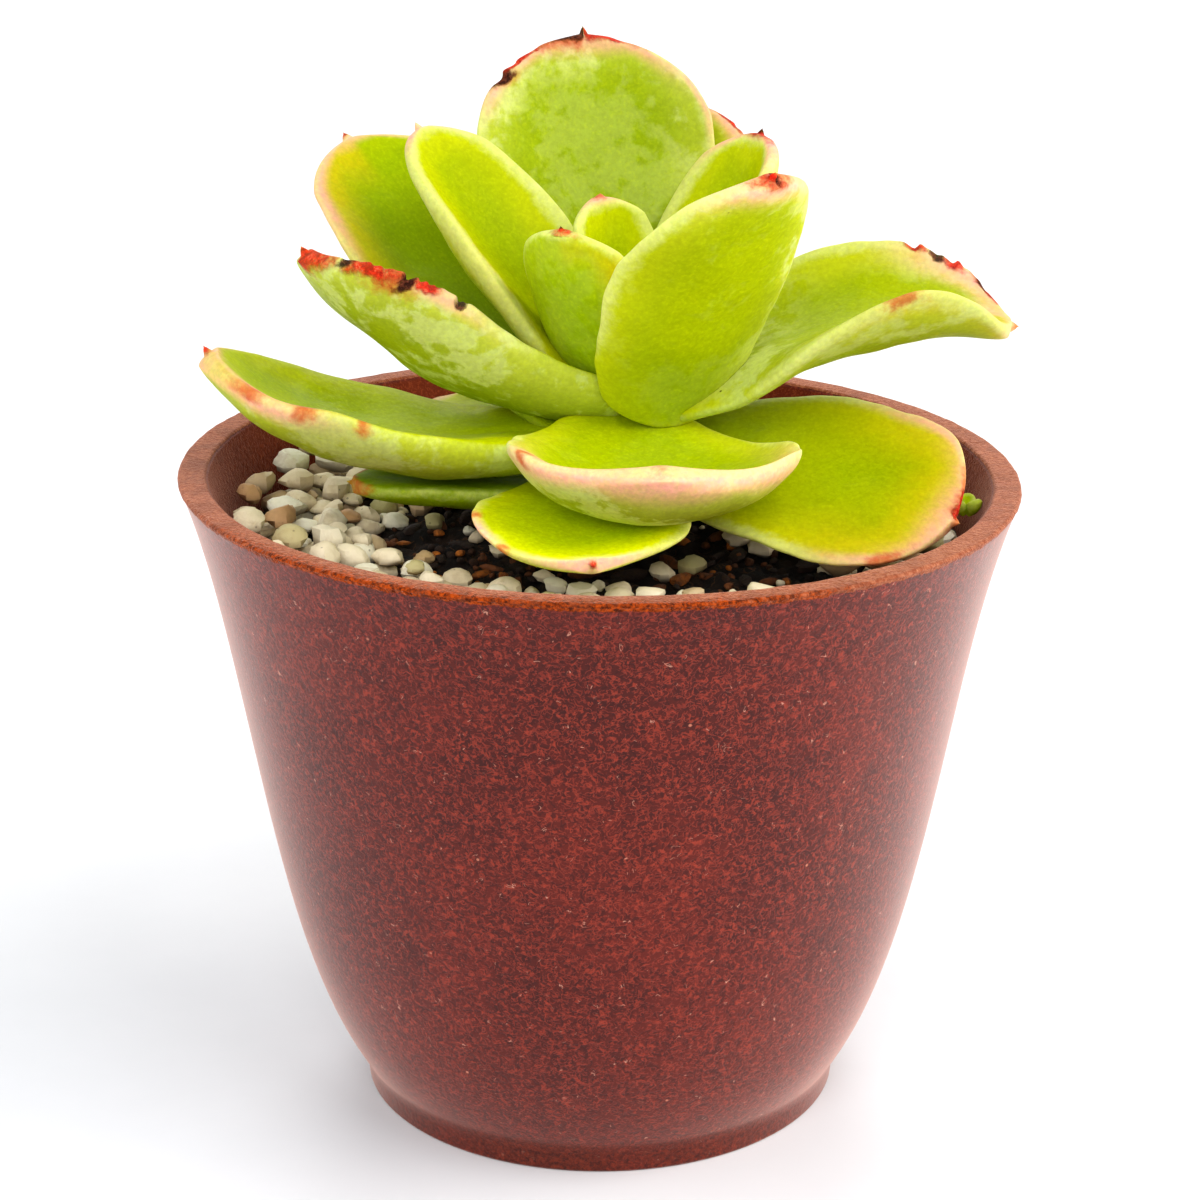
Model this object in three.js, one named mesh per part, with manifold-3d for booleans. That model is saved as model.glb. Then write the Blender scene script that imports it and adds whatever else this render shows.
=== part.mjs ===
// Potted succulent: a rosette of thick, cupped leaves on a short stem, growing in a round
// tapered pot that is filled with soil and topped with pale gravel.
// Millimetres, +Z up. The origin is the centre of the pot's foot, on the surface it stands on.

import * as THREE from 'three';
import { mergeVertices } from 'three/addons/utils/BufferGeometryUtils.js';
import Module from 'manifold-3d';

const wasm = await Module();
wasm.setup();

// ---- Driving dimensions --------------------------------------------------------------------

const POT_HEIGHT = 94;
const RIM_RADIUS = 60;
const WALL = 4;
const GAP = 0.3; // clearance kept between pieces that rest on each other

// The pot's foot: a narrow upright band with a shallow recess and one drain hole under it.
const FOOT_RADIUS = 34.9;
const FOOT_BAND = 4.3;
const FOOT_STEP = 0.9; // how far the body overhangs the band
const FOOT_RING = 7; // width of the flat ring that the pot stands on
const RECESS_DEPTH = 2.2;
const FLOOR_TOP = 6.5;
const DRAIN_RADIUS = 5;

// The pot's body, above the foot band: a straight taper, rounded out low down, flared at the rim.
const BODY_START = 4.8;
const TAPER = 0.165;
const FOOT_ROUND = 6.9;
const FOOT_ROUND_LENGTH = 14;
const FLARE_POWER = 7;
const RIM_EDGE = 0.6;

// The bed inside the pot.
const SOIL_EDGE = 83; // height of the soil at the wall
const SOIL_RISE = 1.5; // how much higher it is at the stem
const SOIL_CLEARANCE = 1; // between the soil and the faceted wall
const SOIL_CORNER = 2; // how far the soil's lower edge is set in
const SOIL_TOP_SHARES = [0.75, 0.45, 0.15]; // where the mound's rings lie between middle and wall

// Gravel: an outer ring of pebbles along the wall and an inner ring that leaves soil bare in front.
const PEBBLE_RINGS = [
  { count: 22, radius: 47.2, from: 5, sweep: 360 },
  { count: 12, radius: 38.6, from: 305, sweep: 285 },
];
const PEBBLE_LENGTH = 5.8; // the smallest; the largest is PEBBLE_SPREAD longer
const PEBBLE_SPREAD = 2;
const PEBBLE_WIDTH_SHARE = 0.82;
const PEBBLE_HEIGHT = 4.2;

// The stem that all leaves grow from.
const STEM_X = 4.5;
const STEM_RADIUS = 5;
const STEM_TOP = 106;
const STEM_FOOT_SHARE = 1.1; // radius at the soil, as a share of the stem's
const STEM_FOOT_HEIGHT = 5;
const STEM_NECK_SHARE = 0.85;
const STEM_NECK_DEPTH = 4; // below the stem's top
const STEM_CROWN_SHARE = 0.5;
const STEM_CROWN_DEPTH = 1;

// How finely the round pieces are divided. A multiple of four keeps the pot's full width.
const POT_SIDES = 48;
const SOIL_SIDES = 32;
const STEM_SIDES = 16;

const DEGREE = Math.PI / 180;

// ---- Colours -------------------------------------------------------------------------------

const finish = (color, roughness) =>
  new THREE.MeshStandardMaterial({ color, roughness, metalness: 0 });

const POT_FINISH = finish(0x8a4238, 0.55);
const SOIL_FINISH = finish(0x2e2018, 0.95);
const STEM_FINISH = finish(0xb5a070, 0.8);
const LEAF_FINISH = finish(0xb4c81e, 0.45);
const PEBBLE_FINISH = finish(0xd8cfbf, 0.8);

// ---- Solids --------------------------------------------------------------------------------

// The same shape with its shared corners merged, so that its faces join up.
function cornersMerged(geometry) {
  const bare = geometry.clone();
  bare.deleteAttribute('normal');
  bare.deleteAttribute('uv');
  return mergeVertices(bare, 1e-5);
}

// A manifold solid from a closed geometry.
function solidOf(geometry) {
  const merged = cornersMerged(geometry);
  const mesh = new wasm.Mesh({
    numProp: 3,
    vertProperties: new Float32Array(merged.attributes.position.array),
    triVerts: new Uint32Array(merged.index.array),
  });
  return new wasm.Manifold(mesh);
}

function geometryOf(solid) {
  const mesh = solid.getMesh();
  const geometry = new THREE.BufferGeometry();
  geometry.setAttribute('position', new THREE.BufferAttribute(mesh.vertProperties, 3));
  geometry.setIndex(new THREE.BufferAttribute(mesh.triVerts, 1));
  geometry.computeVertexNormals();
  return geometry;
}

// The largest separate body of a solid: a cut can leave crumbs beside the piece itself.
function largestBody(solid) {
  const bodies = solid.decompose();
  return bodies.reduce((best, body) => (body.volume() > best.volume() ? body : best));
}

// A solid of revolution about the Z axis, from a list of [radius, height] pairs.
function turned(profile, segments) {
  const points = profile.map(([radius, height]) => new THREE.Vector2(radius, height));
  return new THREE.LatheGeometry(points, segments).rotateX(Math.PI / 2);
}

function named(name, geometry, material) {
  const mesh = new THREE.Mesh(geometry, material);
  mesh.name = name;
  return mesh;
}

// ---- Pot and soil --------------------------------------------------------------------------

function outerRadius(z) {
  const t = z - BODY_START;
  const full = POT_HEIGHT - BODY_START;
  const bodyFoot = FOOT_RADIUS + FOOT_STEP;
  const plain = (h) => bodyFoot + TAPER * h + FOOT_ROUND * (1 - Math.exp(-h / FOOT_ROUND_LENGTH));
  const flare = RIM_RADIUS - plain(full);
  return plain(t) + flare * (t / full) ** FLARE_POWER;
}

const innerRadius = (z) => outerRadius(z) - WALL;

// Heights from low to high, closer together where the wall curves most.
const POT_LEVELS = [9, 18, 34, 62, 84];

function makePot(margin = 0) {
  const levels = POT_LEVELS.map((z) => [outerRadius(z) + margin, z]);
  const inside = POT_LEVELS.slice().reverse().map((z) => [innerRadius(z) - margin, z]);
  const top = POT_HEIGHT + margin;
  const profile = [
    [DRAIN_RADIUS, RECESS_DEPTH],
    [FOOT_RADIUS - FOOT_RING - RECESS_DEPTH, RECESS_DEPTH],
    [FOOT_RADIUS - FOOT_RING, 0],
    [FOOT_RADIUS, 0],
    [FOOT_RADIUS, FOOT_BAND],
    [FOOT_RADIUS + FOOT_STEP, BODY_START],
    ...levels,
    [RIM_RADIUS + margin, POT_HEIGHT - RIM_EDGE],
    [RIM_RADIUS + margin - RIM_EDGE, top],
    [RIM_RADIUS - WALL - margin + RIM_EDGE, top],
    [RIM_RADIUS - WALL - margin, POT_HEIGHT - RIM_EDGE],
    ...inside,
    [innerRadius(FLOOR_TOP) - 1, FLOOR_TOP],
    [DRAIN_RADIUS, FLOOR_TOP],
    [DRAIN_RADIUS, RECESS_DEPTH],
  ];
  return turned(profile, POT_SIDES);
}

// The soil's top: highest at the stem, falling evenly to the wall.
const soilHeight = (radius) =>
  SOIL_EDGE + SOIL_RISE * (1 - (radius / innerRadius(SOIL_EDGE)) ** 2);

function makeSoil() {
  const bottom = FLOOR_TOP + GAP;
  const edge = (z) => innerRadius(z) - SOIL_CLEARANCE;
  const walls = POT_LEVELS.filter((z) => z < SOIL_EDGE).map((z) => [edge(z), z]);
  const tops = SOIL_TOP_SHARES.map((share) => {
    const radius = share * innerRadius(SOIL_EDGE);
    return [radius, soilHeight(radius)];
  });
  const profile = [
    [0, bottom],
    [innerRadius(bottom) - SOIL_CORNER, bottom],
    ...walls,
    [edge(SOIL_EDGE), SOIL_EDGE],
    ...tops,
    [0, soilHeight(0)],
  ];
  return turned(profile, SOIL_SIDES);
}

function makeStem(margin = 0) {
  const foot = soilHeight(0) + GAP;
  const radius = STEM_RADIUS + margin;
  const profile = [
    [0, foot - margin],
    [radius * STEM_FOOT_SHARE, foot - margin],
    [radius, foot + STEM_FOOT_HEIGHT],
    [radius * STEM_NECK_SHARE, STEM_TOP - STEM_NECK_DEPTH],
    [radius * STEM_CROWN_SHARE, STEM_TOP - STEM_CROWN_DEPTH + margin],
    [0, STEM_TOP + margin],
  ];
  return turned(profile, STEM_SIDES).translate(STEM_X, 0, 0);
}

// ---- Leaves --------------------------------------------------------------------------------

// Each leaf grows along a midrib that starts at `root`, points to the compass angle `heading`
// (0 along +X, 90 along +Y) and climbs at the angles `rise` from its root to its tip.
// `curl` is how far the left and right half turn up, in degrees, and `roll` lifts the left side.
// `widest` is where along it the leaf is broadest, and `neck` its width share at the root.
// The list goes from the heart of the rosette outwards.
const PLAIN_LEAF = {
  thick: 4.5, curl: [30, 30], roll: 0, widest: 0.62, neck: 0.46, bend: 0,
  riseShape: 1, blunt: 2.1, point: 0.3, ripple: 0,
};

const LEAVES = [
  { name: 'bud_front', root: [4, -0.5, 107], heading: 200, rise: [84, 88],
    length: 15, width: 9, thick: 2.4, curl: [50, 50] },
  { name: 'bud_back', root: [5, 0.5, 107], heading: 20, rise: [80, 84],
    length: 18, width: 10, thick: 2.4, curl: [50, 50] },
  { name: 'leaf_centre_front', root: [2, -3, 105], heading: 238, rise: [55, 72],
    length: 31, width: 20, thick: 3.2, curl: [35, 35], neck: 0.6 },
  { name: 'leaf_centre_back', root: [3, 2, 106], heading: 135, rise: [78, 84],
    length: 27, width: 18, thick: 3.2, curl: [40, 40] },
  { name: 'leaf_back_top', root: [3.5, 3.5, 104.5], heading: 104, rise: [41, 84],
    length: 55, width: 37, curl: [32, 32], widest: 0.69, neck: 0.32, blunt: 1.95, point: 0.24 },
  { name: 'leaf_right_inner', root: [7, 1, 105], heading: 42, rise: [52, 64],
    length: 41, width: 22, curl: [25, 80], blunt: 1.8 },
  { name: 'leaf_front_right', root: [8.9, -5.6, 103.2], heading: 290, rise: [60, 51],
    length: 48.6, width: 29, curl: [25, 25], widest: 0.5, neck: 0.62, bend: 20, blunt: 2.6 },
  { name: 'leaf_left_inner', root: [3, -3, 104], heading: 151, rise: [42, 54],
    length: 50, width: 23, curl: [60, 45], roll: -14, neck: 0.55, blunt: 1.8 },
  { name: 'leaf_back_right', root: [6, 4, 101], heading: 72, rise: [48, 60],
    length: 49, width: 24 },
  { name: 'leaf_left_back', root: [1, 2.5, 98.5], heading: 144, rise: [30, 46],
    length: 61, width: 37, curl: [30, 25], roll: -8 },
  { name: 'leaf_left_mid', root: [3, -2, 104], heading: 184, rise: [2, 54],
    length: 52, width: 30, curl: [50, 30], roll: 23, neck: 0.58 },
  { name: 'leaf_right_wavy', root: [8, 0, 102], heading: 0, rise: [38, -10],
    length: 54, width: 36, curl: [63, 30], ripple: -4.5 },
  { name: 'leaf_front_mid', root: [3.3, -2, 102.5], heading: 277, rise: [-18, 70], length: 44,
    width: 42, curl: [38, 44], roll: -2, riseShape: 2.4, widest: 0.6, neck: 0.4, blunt: 2.6,
    point: 0 },
  { name: 'leaf_left_low', root: [2, -3, 100.5], heading: 185, rise: [-8, 55],
    length: 62, width: 31, thick: 6, curl: [45, 26], riseShape: 1.9, neck: 0.5 },
  { name: 'leaf_right_front', root: [8, -3, 98], heading: 334, rise: [0, -12],
    length: 46, width: 33, thick: 4, curl: [10, 10], roll: 23, blunt: 3, neck: 0.6 },
  { name: 'leaf_front_low', root: [0.5, -4, 94], heading: 254, rise: [-4, 2],
    length: 37, width: 30, thick: 4, curl: [15, 15], bend: 28 },
  { name: 'leaf_back_mid', root: [3, 5, 94], heading: 113, rise: [24, 36],
    length: 48, width: 28 },
  { name: 'leaf_back_right_low', root: [6, 4.5, 93], heading: 62, rise: [0, 0],
    length: 33, width: 24 },
  { name: 'leaf_left_bottom', root: [0, -3, 92], heading: 185, rise: [0, 6],
    length: 36, width: 15, thick: 4, curl: [20, 20] },
  { name: 'leaf_back_left_low', root: [2, 4.5, 92], heading: 140, rise: [4, 8],
    length: 36, width: 24 },
  { name: 'leaf_right_low', root: [8, 2, 93], heading: 25, rise: [2, 6],
    length: 36, width: 22 },
].map((leaf) => ({ ...PLAIN_LEAF, ...leaf }));

const LEAF_STATIONS = 12; // cross-sections from root to tip
const LEAF_SIDES = 10; // corners of each cross-section
const CROWDING = 0.65; // how much the cross-sections crowd towards the tip, 0 to 1
const MIDRIB_STEPS = 200;
const ROOT_ROUND = 0.1; // share of the length over which the root end rounds in
const BLADE_END = 0.975; // the blade ends here and the fine point goes on to the tip
const POINT_START = 0.6; // the fine point's flanks rise from here
const POINT_FULL = 0.9;
const POINT_SHARE = 0.14; // share of the length over which the point narrows
const POINT_END = 0.01;
const SWELL_POWER = 1.3; // shape of the widening from the root
const TIP_POWER = 0.55; // shape of the rounding at the tip
const ROOT_THICKNESS = 0.85; // thickness at the root, as a share of the full thickness
const FULL_THICKNESS_AT = 0.4;
const THINNING_START = 0.35;
const TIP_THINNING = 0.45; // share of the thickness lost by the tip
const THINNING_POWER = 1.5;
const MOST_THICKNESS = 0.9; // half the thickness stays below this share of half the width
const LENS_POWER = 2.2; // how full the cross-section's lens is
const INNER_SHARE = 0.7; // the inner face bulges less than the outer one
const OUTER_SHARE = 2 - INNER_SHARE;
const LEAST_CURL = 0.5; // in degrees, so that a flat half can be worked out like a curled one

const clamp01 = (value) => Math.min(1, Math.max(0, value));

// The blade's half width at the share `u` of its length, as a share of the widest half width.
function bladeShare(leaf, u) {
  const s = clamp01(u / BLADE_END);
  const swell = Math.sin(clamp01(s / leaf.widest) * Math.PI / 2) ** SWELL_POWER;
  const narrowing = clamp01((s - leaf.widest) / (1 - leaf.widest));
  const blade = s < leaf.widest
    ? leaf.neck + (1 - leaf.neck) * swell
    : Math.max(0, 1 - narrowing ** leaf.blunt) ** TIP_POWER;
  const flank = clamp01((u - POINT_START) / (POINT_FULL - POINT_START));
  const point = leaf.point * clamp01((1 - u) / POINT_SHARE) * flank;
  const root = Math.sqrt(1 - (1 - clamp01(u / ROOT_ROUND)) ** 2);
  return Math.hypot(blade, point) * clamp01((1 - u) / POINT_END) * root;
}

// Half the leaf's thickness at `u`: full near the root, about half towards the tip.
function halfThickness(leaf, u, halfWidth) {
  const filled = Math.sin(clamp01(u / FULL_THICKNESS_AT) * Math.PI / 2);
  const swell = ROOT_THICKNESS + (1 - ROOT_THICKNESS) * filled;
  const outward = clamp01((u - THINNING_START) / (1 - THINNING_START));
  const thinning = 1 - TIP_THINNING * outward ** THINNING_POWER;
  return Math.min(leaf.thick / 2 * swell * thinning, halfWidth * MOST_THICKNESS);
}

// Points along the midrib, by adding up short steps in its changing direction.
function midrib(leaf) {
  const at = new THREE.Vector3(...leaf.root);
  const frames = [];
  for (let i = 0; i <= MIDRIB_STEPS; i += 1) {
    const u = i / MIDRIB_STEPS;
    const rise = leaf.rise[0] + (leaf.rise[1] - leaf.rise[0]) * u ** leaf.riseShape;
    const pitch = rise * DEGREE;
    const heading = (leaf.heading + leaf.bend * u) * DEGREE;
    const along = new THREE.Vector3(
      Math.cos(pitch) * Math.cos(heading), Math.cos(pitch) * Math.sin(heading), Math.sin(pitch));
    const across = new THREE.Vector3(-Math.sin(heading), Math.cos(heading), 0);
    const up = new THREE.Vector3().crossVectors(along, across);
    frames.push({ at: at.clone(), side: across, up });
    at.addScaledVector(along, leaf.length / MIDRIB_STEPS);
  }
  return frames;
}

// One point of the cross-section at `u`. The section is a flat lens bent upwards into an arc:
// `turn` runs once round it, and v runs from -1 at the right margin to 1 at the left one.
function sectionPoint(leaf, frame, u, turn, margin) {
  const v = Math.cos(turn);
  const face = Math.sin(turn);
  const width = leaf.width / 2;
  const halfWidth = bladeShare(leaf, u) * width + margin;
  const half = halfThickness(leaf, u, halfWidth - margin) + margin;
  const bendPerMm = Math.max(v > 0 ? leaf.curl[0] : leaf.curl[1], LEAST_CURL) * DEGREE / width;
  const angle = Math.abs(v) * halfWidth * bendPerMm;
  const ripple = v < 0 ? leaf.ripple * Math.sin(2 * Math.PI * u) * v * v * halfWidth / width : 0;
  const skin = Math.sign(face) * Math.sqrt(Math.max(0, 1 - Math.abs(v) ** LENS_POWER)) * half;
  const offset = skin * (face > 0 ? INNER_SHARE : OUTER_SHARE);
  const x = Math.sign(v) * (Math.sin(angle) / bendPerMm - Math.sin(angle) * offset);
  const z = (1 - Math.cos(angle)) / bendPerMm + Math.cos(angle) * offset + ripple;
  const roll = leaf.roll * DEGREE;
  const sideways = x * Math.cos(roll) - z * Math.sin(roll);
  const upwards = x * Math.sin(roll) + z * Math.cos(roll);
  return frame.at.clone().addScaledVector(frame.side, sideways).addScaledVector(frame.up, upwards);
}

// A closed leaf: rings of points along the midrib with a single point at each end.
function leafGeometry(leaf, margin = 0) {
  const frames = midrib(leaf);
  const frameAt = (u) => frames[Math.round(u * MIDRIB_STEPS)];
  const points = [frames[0].at.clone()];
  for (let i = 1; i < LEAF_STATIONS; i += 1) {
    const even = i / LEAF_STATIONS;
    const u = (1 - CROWDING) * even + CROWDING * Math.sin(even * Math.PI / 2);
    for (let j = 0; j < LEAF_SIDES; j += 1) {
      const turn = (2 * Math.PI * j) / LEAF_SIDES;
      points.push(sectionPoint(leaf, frameAt(u), u, turn, margin));
    }
  }
  points.push(frames[MIDRIB_STEPS].at.clone());
  return closedRings(points, LEAF_STATIONS - 1, LEAF_SIDES);
}

// Faces for `rings` rings of `sides` points that are closed by a first and a last point.
function closedRings(points, rings, sides) {
  const corner = (ring, side) => 1 + ring * sides + (side % sides);
  const last = points.length - 1;
  const faces = [];
  for (let side = 0; side < sides; side += 1) {
    faces.push(0, corner(0, side + 1), corner(0, side));
    faces.push(last, corner(rings - 1, side), corner(rings - 1, side + 1));
    for (let ring = 0; ring < rings - 1; ring += 1) {
      faces.push(corner(ring, side), corner(ring, side + 1), corner(ring + 1, side + 1));
      faces.push(corner(ring, side), corner(ring + 1, side + 1), corner(ring + 1, side));
    }
  }
  return new THREE.BufferGeometry().setFromPoints(points).setIndex(faces);
}

// Every leaf, cut back where it meets the stem and the leaves nearer the heart of the rosette.
function makeLeaves() {
  const keepOut = [solidOf(makeStem(GAP)), solidOf(makePot(GAP))];
  return LEAVES.map((leaf) => {
    let solid = solidOf(leafGeometry(leaf));
    for (const neighbour of keepOut) {
      solid = solid.subtract(neighbour);
    }
    keepOut.push(solidOf(leafGeometry(leaf, GAP)));
    return named(leaf.name, geometryOf(largestBody(solid)), LEAF_FINISH);
  });
}

// ---- Gravel --------------------------------------------------------------------------------

// Steps that never repeat: multiples of them, less their whole part, fill 0 to 1 evenly.
const GOLDEN_STEP = 0.618;
const SILVER_STEP = 0.414;
const evenSpread = (index, step) => (index * step) % 1;

// A rounded stone with shallow flats, from a sphere whose radius varies with direction.
function pebbleGeometry(length, index) {
  const geometry = cornersMerged(new THREE.IcosahedronGeometry(1, 1));
  const corners = geometry.attributes.position;
  const point = new THREE.Vector3();
  for (let i = 0; i < corners.count; i += 1) {
    point.fromBufferAttribute(corners, i);
    const lump = Math.sin(2 * point.x + index) * Math.cos(3 * point.y - index);
    point.multiplyScalar(1 - 0.1 * lump * lump);
    corners.setXYZ(i, point.x, point.y, point.z);
  }
  const width = length * PEBBLE_WIDTH_SHARE;
  return geometry.scale(length / 2, width / 2, PEBBLE_HEIGHT / 2);
}

function makePebbles() {
  const pebbles = [];
  for (const ring of PEBBLE_RINGS) {
    for (let i = 0; i < ring.count; i += 1) {
      const index = pebbles.length + 1;
      const length = PEBBLE_LENGTH + PEBBLE_SPREAD * evenSpread(index, GOLDEN_STEP);
      const angle = (ring.from + (ring.sweep * i) / ring.count) * DEGREE;
      const seat = soilHeight(ring.radius - length / 2) + GAP;
      const pebble = named(`pebble_${index}`, pebbleGeometry(length, index), PEBBLE_FINISH);
      pebble.rotation.z = 2 * Math.PI * evenSpread(index, SILVER_STEP);
      pebble.position.set(ring.radius * Math.cos(angle), ring.radius * Math.sin(angle),
        seat + PEBBLE_HEIGHT / 2);
      pebbles.push(pebble);
    }
  }
  return pebbles;
}

// ---- The whole object ----------------------------------------------------------------------

const plant = new THREE.Group();
plant.add(named('pot', makePot(), POT_FINISH));
plant.add(named('soil', makeSoil(), SOIL_FINISH));
plant.add(named('stem', makeStem(), STEM_FINISH));
plant.add(...makeLeaves());
plant.add(...makePebbles());

export default plant;
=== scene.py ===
"""Potted succulent: the looks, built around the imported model. Metres, +Z up.

The leaves, pot, soil, stem and stones are surfaces worked out with numpy from the same driving
sizes as the solid model, in millimetres, and finished with procedural materials.
"""

import math

import bpy
import numpy as np
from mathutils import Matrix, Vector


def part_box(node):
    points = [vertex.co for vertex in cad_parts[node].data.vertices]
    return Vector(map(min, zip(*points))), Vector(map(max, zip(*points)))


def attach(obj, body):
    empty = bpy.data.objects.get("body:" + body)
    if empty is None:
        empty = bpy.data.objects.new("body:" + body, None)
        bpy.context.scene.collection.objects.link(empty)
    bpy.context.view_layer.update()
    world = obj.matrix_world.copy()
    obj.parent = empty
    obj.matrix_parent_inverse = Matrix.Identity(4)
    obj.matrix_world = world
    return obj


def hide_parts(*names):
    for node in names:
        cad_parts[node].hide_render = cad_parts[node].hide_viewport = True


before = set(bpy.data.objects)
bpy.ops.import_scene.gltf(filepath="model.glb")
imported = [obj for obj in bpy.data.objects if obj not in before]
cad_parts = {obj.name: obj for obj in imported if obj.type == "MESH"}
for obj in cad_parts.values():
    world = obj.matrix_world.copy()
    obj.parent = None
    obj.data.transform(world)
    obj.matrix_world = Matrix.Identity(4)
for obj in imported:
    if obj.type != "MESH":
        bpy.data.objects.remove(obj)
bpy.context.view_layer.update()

MM = 0.001
DEGREE = math.pi / 180

# ---- Driving sizes, in millimetres, as in the solid model ------------------------------------

POT_HEIGHT = 94.0
RIM_RADIUS = 60.0
WALL = 4.0
GAP = 0.3
FOOT_RADIUS = 34.9
FOOT_BAND = 4.3
FOOT_STEP = 0.9
FOOT_RING = 7.0
RECESS_DEPTH = 2.2
FLOOR_TOP = 6.5
DRAIN_RADIUS = 5.0
BODY_START = 4.8
TAPER = 0.165
FOOT_ROUND = 6.9
FOOT_ROUND_LENGTH = 14.0
FLARE_POWER = 7
RIM_LEFT_RISE = 1.1  # the rim is a little uneven: higher on the left and in front by this much,
RIM_FRONT_RISE = 0.8  # and as much lower on the right and at the back
SOIL_EDGE = 83.0
SOIL_RISE = 1.5
STEM_X = 4.5
STEM_RADIUS = 5.0
STEM_TOP = 106.0

# ---- Camera, lights and floor, in metres -----------------------------------------------------

CAMERA_PLACE = (0, -0.453, 0.237)
CAMERA_TILT = 70.2  # degrees up from looking straight down
CAMERA_LENS = 100
SENSOR_WIDTH = 36
PLANT_MIDDLE = (0, 0, 0.09)
ROOM_LIGHT = 0.46
FLOOR_REACH = 3.0


# ---- Small shape tools -----------------------------------------------------------------------


def smooth(value, low, high):
    """0 below low, 1 above high, and an even S-curve between them."""
    t = np.clip((value - low) / (high - low), 0.0, 1.0)
    return t * t * (3.0 - 2.0 * t)


def waves(points, size, seed, count=9):
    """A smooth random field: the mean of sine waves in random directions, about -1 to 1.

    size is roughly the width of one bump, in the points' own units.
    """
    rng = np.random.default_rng(seed)
    directions = rng.normal(size=(count, points.shape[-1]))
    directions /= np.linalg.norm(directions, axis=1)[:, None]
    pace = (np.pi / size) * rng.uniform(0.7, 1.5, count)
    phase = rng.uniform(0.0, 2.0 * np.pi, count)
    turns = np.tensordot(points, (directions * pace[:, None]).T, axes=1) + phase
    return np.sin(turns).sum(axis=-1) / math.sqrt(count)


def tube_faces(rings, sides):
    """Quads between rings of points, with a fan to a single point at each end.

    Point 0 is the first pole, then come the rings one after another, then the last pole.
    """
    ring = np.arange(rings - 1)[:, None] * sides
    side = np.arange(sides)[None, :]
    near = 1 + ring + side
    near_next = 1 + ring + (side + 1) % sides
    quads = np.stack([near, near_next, near_next + sides, near + sides], axis=-1)
    last = 1 + rings * sides
    around = np.arange(sides)
    after = (around + 1) % sides
    first_fan = np.stack([np.zeros(sides, int), 1 + after, 1 + around], axis=-1)
    top = last - sides
    last_fan = np.stack([np.full(sides, last), top + around, top + after], axis=-1)
    return quads.reshape(-1, 4).tolist() + first_fan.tolist() + last_fan.tolist()


def looped_faces(rings, sides):
    """Quads of a surface that closes on itself both along the rings and round each ring."""
    ring = np.arange(rings)[:, None]
    side = np.arange(sides)[None, :]
    ahead = (ring + 1) % rings
    beside = (side + 1) % sides
    corners = [ring * sides + side, ring * sides + beside, ahead * sides + beside, ahead * sides + side]
    return np.stack(np.broadcast_arrays(*corners), axis=-1).reshape(-1, 4).tolist()


def add_piece(name, points, faces, material, nodes=(), masks=None, crease=None):
    """Puts a finished mesh, given in millimetres, on the plant's one body.

    Edges that turn by more than crease degrees stay sharp.
    """
    mesh = bpy.data.meshes.new(name)
    mesh.from_pydata((np.asarray(points) * MM).tolist(), [], faces)
    mesh.update()
    mesh.polygons.foreach_set("use_smooth", np.ones(len(mesh.polygons), bool))
    if crease:
        mesh.set_sharp_from_angle(angle=crease * DEGREE)
    for mask, values in (masks or {}).items():
        layer = mesh.attributes.new(mask, "FLOAT", "POINT")
        layer.data.foreach_set("value", np.asarray(values, np.float32).ravel())
    mesh.materials.append(material)
    piece = bpy.data.objects.new(name, mesh)
    bpy.context.scene.collection.objects.link(piece)
    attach(piece, "root")
    if nodes:
        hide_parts(*nodes)
    return piece


# ---- Shader tools ----------------------------------------------------------------------------


def srgb(red, green, blue):
    """A colour given as 0 to 255 display values, as the linear colour that shaders use."""
    share = np.array([red, green, blue]) / 255.0
    linear = np.where(share <= 0.04045, share / 12.92, ((share + 0.055) / 1.055) ** 2.4)
    return (*linear.tolist(), 1.0)


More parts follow.
